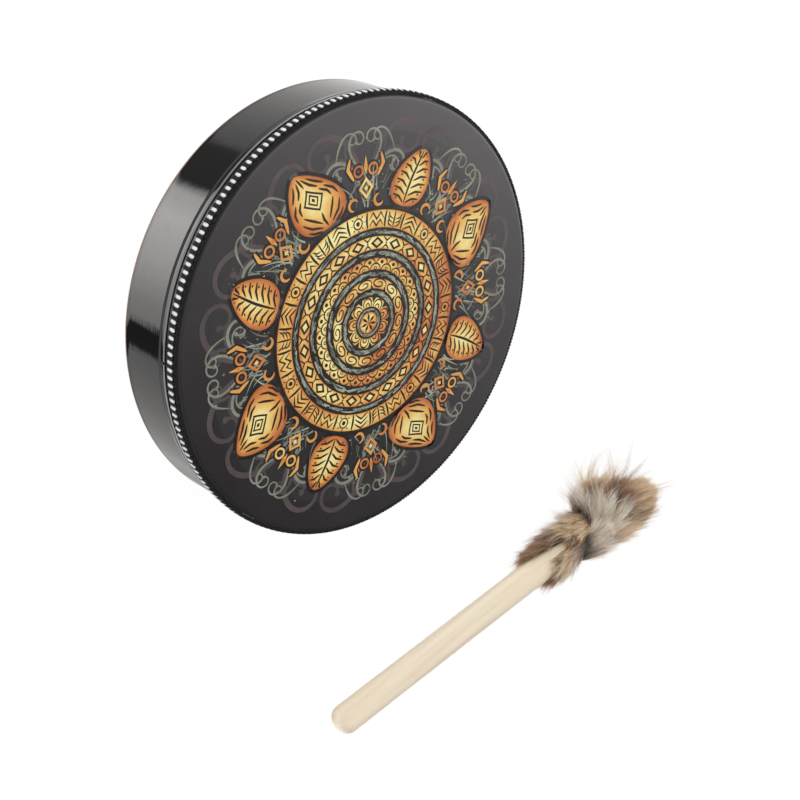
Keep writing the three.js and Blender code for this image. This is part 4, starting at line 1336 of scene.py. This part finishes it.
# Radius of the hide: drawn in under the tie, full over the pad, round at the nose, flatter on the
# side that is up in the picture, and thin at its edge.
def skinRadius(facing, station):
    swell = np.exp(-((station - fur["swellAt"]) / fur["swellWide"]) ** 2)
    neck = fur["collar"] + fur["swell"] * swell
    rise = np.clip((station - fur["rise"]) / fur["riseLong"], 0, 1)
    rise = rise * rise * (3 - 2 * rise)
    groove = np.exp(-((station - fur["tie"]) / fur["grooveWide"]) ** 4)
    tied = neck + (fur["groove"] - neck) * groove
    upper = np.exp(-((np.degrees(facing) - fur["upperAt"]) / fur["upperWide"]) ** 2)
    blunt = fur["blunt"] - 3 * upper
    past = np.clip((station - blunt) / (fur["nose"] - blunt), 0, 1)
    nose = np.sqrt(np.maximum(1 - past ** (2.4 - 0.3 * upper), 0))
    full = (tied + (fur["head"] - tied) * rise) * nose
    ease = np.clip((station - alongRound(furEdge, facing)) / fur["edgeLong"], 0, 1) ** 0.6
    return np.where(ease < 1, fur["thin"] + (full - fur["thin"]) * ease, full)


# What the tufts say at a root: each counts by its nearness over the skin.
def tuftShares(tufts, facing, station):
    degrees = np.array([tuft[0] for tuft in tufts], float)
    stations = np.array([tuft[1] for tuft in tufts], float)
    turn = (facing[:, None] - np.radians(degrees) + np.pi) % (2 * np.pi) - np.pi
    near = (fur["meanRadius"] * turn) ** 2 + (station[:, None] - stations) ** 2
    shares = (near + 6.0) ** -2.5
    return shares / shares.sum(1, keepdims=True)


# The number of each tuft's tone.
def toneOf(tufts):
    return np.array([toneNames.index(tuft[6]) for tuft in tufts])


# The lining round the pad and the skin of the fur, closed at the hide's edge. The skin's tone is the
# mean of the tufts' middle tones by their shares, with painted shade, near black, where the hair parts.
def makeHide():
    sides, rows = 120, 70
    facing = np.linspace(-np.pi, np.pi, sides, endpoint=False)[:, None]
    angle = facing + fur["facing"]
    edge = alongRound(furEdge, facing)
    station = edge + (fur["nose"] - edge) * (1 - (1 - np.linspace(0, 1, rows)[None, :]) ** 1.25)
    outer = skinRadius(facing, station)
    c, s = np.cos(angle), np.sin(angle)
    skin = np.stack([outer * c, outer * s, station], -1)
    lining = [np.stack([r * c, r * s, h + 0 * c], -1) for r, h in furLining]
    lining.append(np.stack([fur["bore"] * c, fur["bore"] * s, edge], -1))
    depth = len(lining)
    world = fromBeater(np.concatenate([*lining, skin], 1))
    world[..., 2] = np.maximum(world[..., 2], fur["hideFloor"])
    thing = meshObject("furHide", world.reshape(-1, 3), [gridFaces(sides, rows + depth, True, False)])
    tufts = collarTufts + headTufts
    whole = np.concatenate([np.broadcast_to(edge, (sides, depth)), station], 1).ravel()
    around = np.repeat(facing[:, 0], rows + depth)
    tone = tuftShares(tufts, around, whole) @ toneTable[toneOf(tufts), 1]
    # painted shade: the skin's tone falls almost to black within 5 mm of the parting
    parted = np.clip(np.abs(whole - alongRound(furParting, around)) / 5, 0, 1)
    writeColour(thing, "tone", tone * (0.02 + 0.45 * parted ** 1.5)[:, None])
    place(closePoles(thing, 2e-6), hairFinish, "beater", ["fur_wrap"])


# Roots spread evenly over a stretch of the hide: before the parting, past it, or in a patch.
def rootsOver(stretch, count, pick):
    facing = pick.uniform(-np.pi, np.pi, count * 12)
    station = pick.uniform(194, 311, count * 12)
    edge, parting = alongRound(furEdge, facing) + 1, alongRound(furParting, facing)
    gap = np.where((facing > -0.1) & (facing < 2.2), 2.1, 0.5)
    if stretch == "collar":
        kept = (station > edge) & (station < parting - gap)
    elif stretch == "head":
        kept = station > parting + gap
    else:
        low, high, start, end = stretch
        degrees = np.degrees(facing)
        kept = (degrees > low) & (degrees < high) & (station > start) & (station < end)
    kept &= np.abs(station - fur["tie"]) > 0.8
    return facing[kept][:count], station[kept][:count]


# Locks of hair. The tufts round a lock's root say how it runs over the skin, how far it lifts off and
# how long it is, and chance adds a little to each.
def makeLocks(stretch, tufts, count, longer, lean, pick):
    facing, station = rootsOver(stretch, count, pick)
    shares = tuftShares(tufts, facing, station)
    values = shares @ np.array([tuft[2:6] for tuft in tufts], float)
    ahead, across, lift, length = values.T[..., None]
    upView, downView = np.array([-0.259, -0.966, 0]), np.array([0.643, 0.766, 0])
    run = ahead * [0, 0, 1] + np.maximum(across, 0) * upView - np.minimum(across, 0) * downView
    run = run / np.maximum(np.linalg.norm(run, axis=1, keepdims=True), 0.3)
    run = run + pick.normal(0, lean, run.shape)
    bend = pick.normal(0, 0.07 + lean, run.shape)
    length = length * longer * pick.uniform(0.82, 1.15, (len(run), 1))
    return {"facing": facing, "station": station, "shares": shares, "run": run, "bend": bend,
            "lift": lift, "length": length}


# A strand's path is its root, plus a share of the way to the middle of its lock, plus its length
# times the lock's run and bend, plus a rise off the skin that falls back, plus two waverings.
def strandPaths(locks, lock, facing, station, t, pick):
    count = len(lock)
    angle = facing + fur["facing"]
    out = np.stack([np.cos(angle), np.sin(angle), 0 * angle], -1)
    root = out * (skinRadius(facing, station) - 0.3)[:, None]
    root[:, 2] = station
    run, bend = locks["run"][lock][:, None], locks["bend"][lock][:, None]
    centre = np.zeros(locks["run"].shape)
    np.add.at(centre, lock, root / (count // len(centre)))
    reach = locks["length"][lock] * pick.uniform(0.62, 1.08, (count, 1))
    rise = locks["lift"][lock] * pick.uniform(0.6, 1.4, (count, 1))
    return (root[:, None] + (centre[lock] - root)[:, None] * 0.35 * t
            + reach[:, None] * (run * t + bend * t ** 2)
            + (reach * rise)[:, None] * out[:, None] * (t - 0.55 * t ** 2)
            + pick.normal(0, 0.6, (count, 1, 3)) * t ** 1.5
            + pick.normal(0, 0.16, (count, 1, 3)) * np.sin(6.5 * t))


# Hair slows down and gathers past the end of the stick, is pushed out to the skin and over the tie,
# and is lifted to the floor.
def keepOutside(path, facing, pick):
    path[..., 2] -= np.maximum(path[..., 2] - fur["slowFrom"], 0) * 0.5
    far = np.clip((path[..., 2] - fur["gatherFrom"]) / fur["gatherLong"], 0, 1)
    path[..., :2] *= (1 - 0.35 * far ** 1.5)[..., None]
    least = skinRadius(facing[:, None], path[..., 2]) + 0.2
    least = np.where(np.abs(path[..., 2] - fur["tie"]) < 8, np.maximum(least, fur["overTie"]), least)
    distance = np.linalg.norm(path[..., :2], axis=-1)
    outwards = np.clip(least / np.maximum(distance, 1e-6), 1, 3)
    path[:, 1:, :2] *= outwards[:, 1:, None]
    path = fromBeater(path)
    path[..., 2] = np.maximum(path[..., 2], fur["floor"] + 0.3 * pick.uniform(0, 1, (len(path), 1)))
    return path


# A strand is a three-sided rod that thins to a point: four rings of three corners, and corner 12 is
# its tip.
def strandMesh(name, path, width, t, pick):
    count = len(path)
    thick = width * pick.uniform(0.7, 1.25, (count, 1)) * (1 - 0.7 * t[0, :-1, 0] ** 1.6)
    rings = tubePoints(path, 1.0, 3, normal=pick.normal(0, 1, (count, 1, 3)))[:, :-1]
    body = path[:, :-1, None] + (rings - path[:, :-1, None]) * thick[..., None, None]
    points = np.concatenate([body.reshape(count, 12, 3), path[:, -1:]], 1)
    quads = repeatedFaces(gridFaces(4, 3, False, True)[:, ::-1], count, 13)
    ends = repeatedFaces(np.array([[9, 10, 12], [10, 11, 12], [11, 9, 12], [2, 1, 0]]), count, 13)
    return meshObject(name, points.reshape(-1, 3), [quads, ends], False)


# A lock has the tone of one tuft, drawn by the tufts' shares. A strand's colour goes from the tone's
# root to its middle to its tip, and roots beside the parting and at the hide's edge are in shadow.
def strandColours(locks, lock, tufts, facing, station, t, pick):
    draws = pick.uniform(0, 1, (len(locks["shares"]), 1))
    heavier = locks["shares"] ** 1.8
    chosen = np.sum(np.cumsum(heavier / heavier.sum(1, keepdims=True), 1) < draws, 1)
    tone = toneOf(tufts)[np.minimum(chosen, len(tufts) - 1)][lock]
    stray = pick.uniform(0, 1, len(lock)) < fur["strayShare"]
    bands = toneTable[np.where(stray, toneNames.index("cream"), tone)][:, None]
    shade = pick.uniform(0.80, 1.2, len(draws))[lock] * pick.uniform(0.7, 1.3, len(lock))
    position = np.concatenate([np.repeat(t[0, :-1, 0], 3), [1.0]])[None, :, None]
    first, second = np.clip(position / 0.4, 0, 1), np.clip((position - 0.4) / 0.6, 0, 1)
    # the darker root tone is partly painted shade deep in the fur
    colour = (bands[:, :, 0] * (1 - first) + bands[:, :, 1] * first) * (1 - second) + bands[:, :, 2] * second
    fromParting = np.abs(station - alongRound(furParting, facing)) / 6
    fromEdge = (station - alongRound(furEdge, facing)) / 5
    deep = np.clip(np.minimum(fromParting, fromEdge), 0.25, 1)[:, None, None]
    colour = colour * (deep + (1 - deep) * np.clip(position * 1.6, 0, 1)) * shade[:, None, None]
    return np.clip(colour, 0, 0.95).reshape(-1, 3)


# Hair grows in locks: some strands start round each lock's root, spread by chance. Widths and
# spreads are in millimetres, longer is a factor on the tufts' lengths, and lean is the chance in a
# lock's run.
def growFur(name, stretch, tufts, count, each, seed, width=0.12, spread=1.5, longer=1.0, lean=0.1):
    pick = np.random.default_rng(seed)
    locks = makeLocks(stretch, tufts, count, longer, lean, pick)
    lock = np.repeat(np.arange(len(locks["run"])), each)
    facing = locks["facing"][lock] + pick.normal(0, spread / fur["meanRadius"], len(lock))
    station = locks["station"][lock] + pick.normal(0, spread, len(lock))
    station = np.minimum(station, fur["nose"] - 0.5)
    t = np.linspace(0, 1, 5)[None, :, None]
    path = keepOutside(strandPaths(locks, lock, facing, station, t, pick), facing, pick)
    thing = strandMesh(name, path, width, t, pick)
    writeColour(thing, "tone", strandColours(locks, lock, tufts, facing, station, t, pick))
    place(thing, hairFinish, "beater")


makeHide()
growFur("furCollar", "collar", collarTufts, 900, 10, seed=7)
growFur("furHeadA", "head", headTufts, 900, 10, seed=8)
growFur("furHeadB", "head", headTufts, 900, 10, seed=9)
growFur("furHeadC", "head", headTufts, 900, 10, seed=10)
growFur("furWisps", (-100, -20, 255, 300), headTufts, 70, 14, seed=11, width=0.06, spread=1.6,
        longer=1.9, lean=0.26)
growFur("furCover", (0, 60, 242.8, 249), headTufts, 110, 12, seed=14, width=0.11, spread=1.2)
growFur("furFringe", (-115, -8, 250.5, 255.5), collarTufts, 130, 14, seed=13, width=0.11, spread=1.2)
growFur("furTips", (-40, 60, 284, 306), headTufts, 40, 16, seed=12, width=0.08, spread=1.3,
        longer=1.15, lean=0.12)
print("fur grown")


# Floor and light.
stage = {"halfSide": 6.0, "shadowShare": 0.1, "worldLevel": 0.72, "keyLevel": 14.0,
         "floorLevel": 1.05, "groundLevel": 0.3, "horizonLevel": 4.3, "peakLevel": 6.0,
         "lowerTint": (0.975, 0.955), "upperTint": (0.965, 0.97), "white": (1, 1, 1, 1)}

# Brightness of what the gloss reflects from below the horizon, by heading in degrees: a soft lamp
# near the viewer, pale all round, and two dark gaps that give the wall its black bands.
lowerRing = [(-180, 1.15), (-166, 1.2), (-145, 1.1), (-123, 0.95), (-106, 0.8), (-100, 0.22),
             (-76, 0.2), (-70, 4.6), (-55, 6.0), (-32, 4.6), (-9.5, 2.4), (2, 1.9), (5, 0.06),
             (18, 0.08), (21, 0.95), (66, 0.95), (78, 0.92), (90, 0.9), (105, 0.5), (140, 0.8), (180, 1.15)]
upperRing = [(-180, 1.6), (-120, 1.0), (0, 0.9), (60, 0.1), (122, 0.05), (132, 0.65), (141, 0.85),
             (145, 1.55), (149, 3.05), (170, 3.4), (180, 1.6)]
# Heights of a mirrored ray where the dark ground, the lower ring, the bright horizon and the upper
# ring meet, as sines of its elevation.
ringMeets = {"ground": (-0.86, -0.81), "horizon": (-0.66, -0.60), "sky": (-0.25, 0.0)}


# Greys along a heading from -180 to 180 degrees: each is its level over the peak, and green and blue
# are tinted.
def headingRamp(world, heading, stops, peak, tint):
    greys = [((degrees + 180) / 360, level / peak) for degrees, level in stops]
    return ramp(world, heading, [(at, (grey, grey * tint[0], grey * tint[1])) for at, grey in greys])


# One colour below a meeting of ringMeets and another above it, with a smooth step between.
def meetRings(world, height, name, below, above):
    low, high = ringMeets[name]
    step = addNode(world, "ShaderNodeMapRange", {"interpolation_type": "SMOOTHSTEP"},
                   From_Min=low, From_Max=high)
    join(world, height, step.inputs["Value"])
    return mixColours(world, "MIX", step.outputs["Result"], below, above)


# The gloss mirrors the rings by a ray's heading and height. Other rays find an even light, and the
# camera sees white.
def makeWorld(part):
    world = bpy.data.worlds.new("studio")
    scene.world = world
    world.use_nodes = True
    world.node_tree.nodes.clear()
    path = addNode(world, "ShaderNodeLightPath")
    direction = addNode(world, "ShaderNodeTexCoord")
    split = addNode(world, "ShaderNodeSeparateXYZ")
    join(world, direction.outputs["Generated"], split.inputs["Vector"])
    angle = mathNode(world, "ARCTAN2", split.outputs["Y"], split.outputs["X"])
    heading = mathNode(world, "MULTIPLY_ADD", angle, 1 / (2 * math.pi), 0.5)
    peak = part["peakLevel"]
    lower = headingRamp(world, heading, lowerRing, peak, part["lowerTint"])
    upper = headingRamp(world, heading, upperRing, peak, part["upperTint"])
    ground = (part["groundLevel"] / peak,) * 3
    horizon = (part["horizonLevel"] / peak,) * 3
    mirrored = meetRings(world, split.outputs["Z"], "ground", ground, lower)
    mirrored = meetRings(world, split.outputs["Z"], "horizon", mirrored, horizon)
    mirrored = meetRings(world, split.outputs["Z"], "sky", mirrored, upper)
    glossy = addNode(world, "ShaderNodeBackground", Strength=peak)
    join(world, mirrored, glossy.inputs["Color"])
    plain = addNode(world, "ShaderNodeBackground", Color=part["white"], Strength=part["worldLevel"])
    bright = addNode(world, "ShaderNodeBackground", Color=part["white"])
    shown = mathNode(world, "MAXIMUM", path.outputs["Is Camera Ray"], path.outputs["Is Transmission Ray"])
    lit = mixShaders(world, path.outputs["Is Glossy Ray"], plain, glossy)
    output = addNode(world, "ShaderNodeOutputWorld")
    join(world, mixShaders(world, shown, lit, bright).outputs[0], output.inputs["Surface"])


# A square that glows, with a small share of matte white that takes the shadows. It is clear from below.
def makeFloor(part):
    half = part["halfSide"] * 1000
    corners = np.array([(-half, -half, 0), (half, -half, 0), (half, half, 0), (-half, half, 0)], float)
    floor = meshObject("floor", corners, [np.array([[0, 1, 2, 3]])])
    material = bpy.data.materials.new("paleFloor")
    material.use_nodes = True
    material.node_tree.nodes.clear()
    matte = addNode(material, "ShaderNodeBsdfDiffuse", Color=part["white"])
    glow = addNode(material, "ShaderNodeEmission", Strength=part["floorLevel"])
    clear = addNode(material, "ShaderNodeBsdfTransparent")
    side = addNode(material, "ShaderNodeNewGeometry")
    face = mixShaders(material, part["shadowShare"], glow, matte)
    both = mixShaders(material, side.outputs["Backfacing"], face, clear)
    output = addNode(material, "ShaderNodeOutputMaterial")
    join(material, both.outputs[0], output.inputs["Surface"])
    floor.data.materials.append(material)
    # only the camera sees the floor, so that light reaches the open back of the drum
    floor.visible_diffuse = False
    floor.visible_glossy = False
    floor.visible_transmission = False
    floor.visible_shadow = False


# A round lamp at a spot in metres, turned to its aim.
def makeLamp(name, spot, aim, size, energy):
    light = bpy.data.lights.new(name, "AREA")
    light.shape = "DISK"
    light.size = size
    light.energy = energy
    holder = bpy.data.objects.new(name, light)
    scene.collection.objects.link(holder)
    holder.location = spot
    holder.rotation_mode = "QUATERNION"
    holder.rotation_quaternion = (Vector(aim) - Vector(spot)).to_track_quat("-Z", "Y")
    holder.visible_glossy = False


makeWorld(stage)
makeFloor(stage)
makeLamp("keyLamp", (0.2, -1.6, 1.4), (0.0, 0.0, 0.0), 1.0, stage["keyLevel"])
print("stage made")
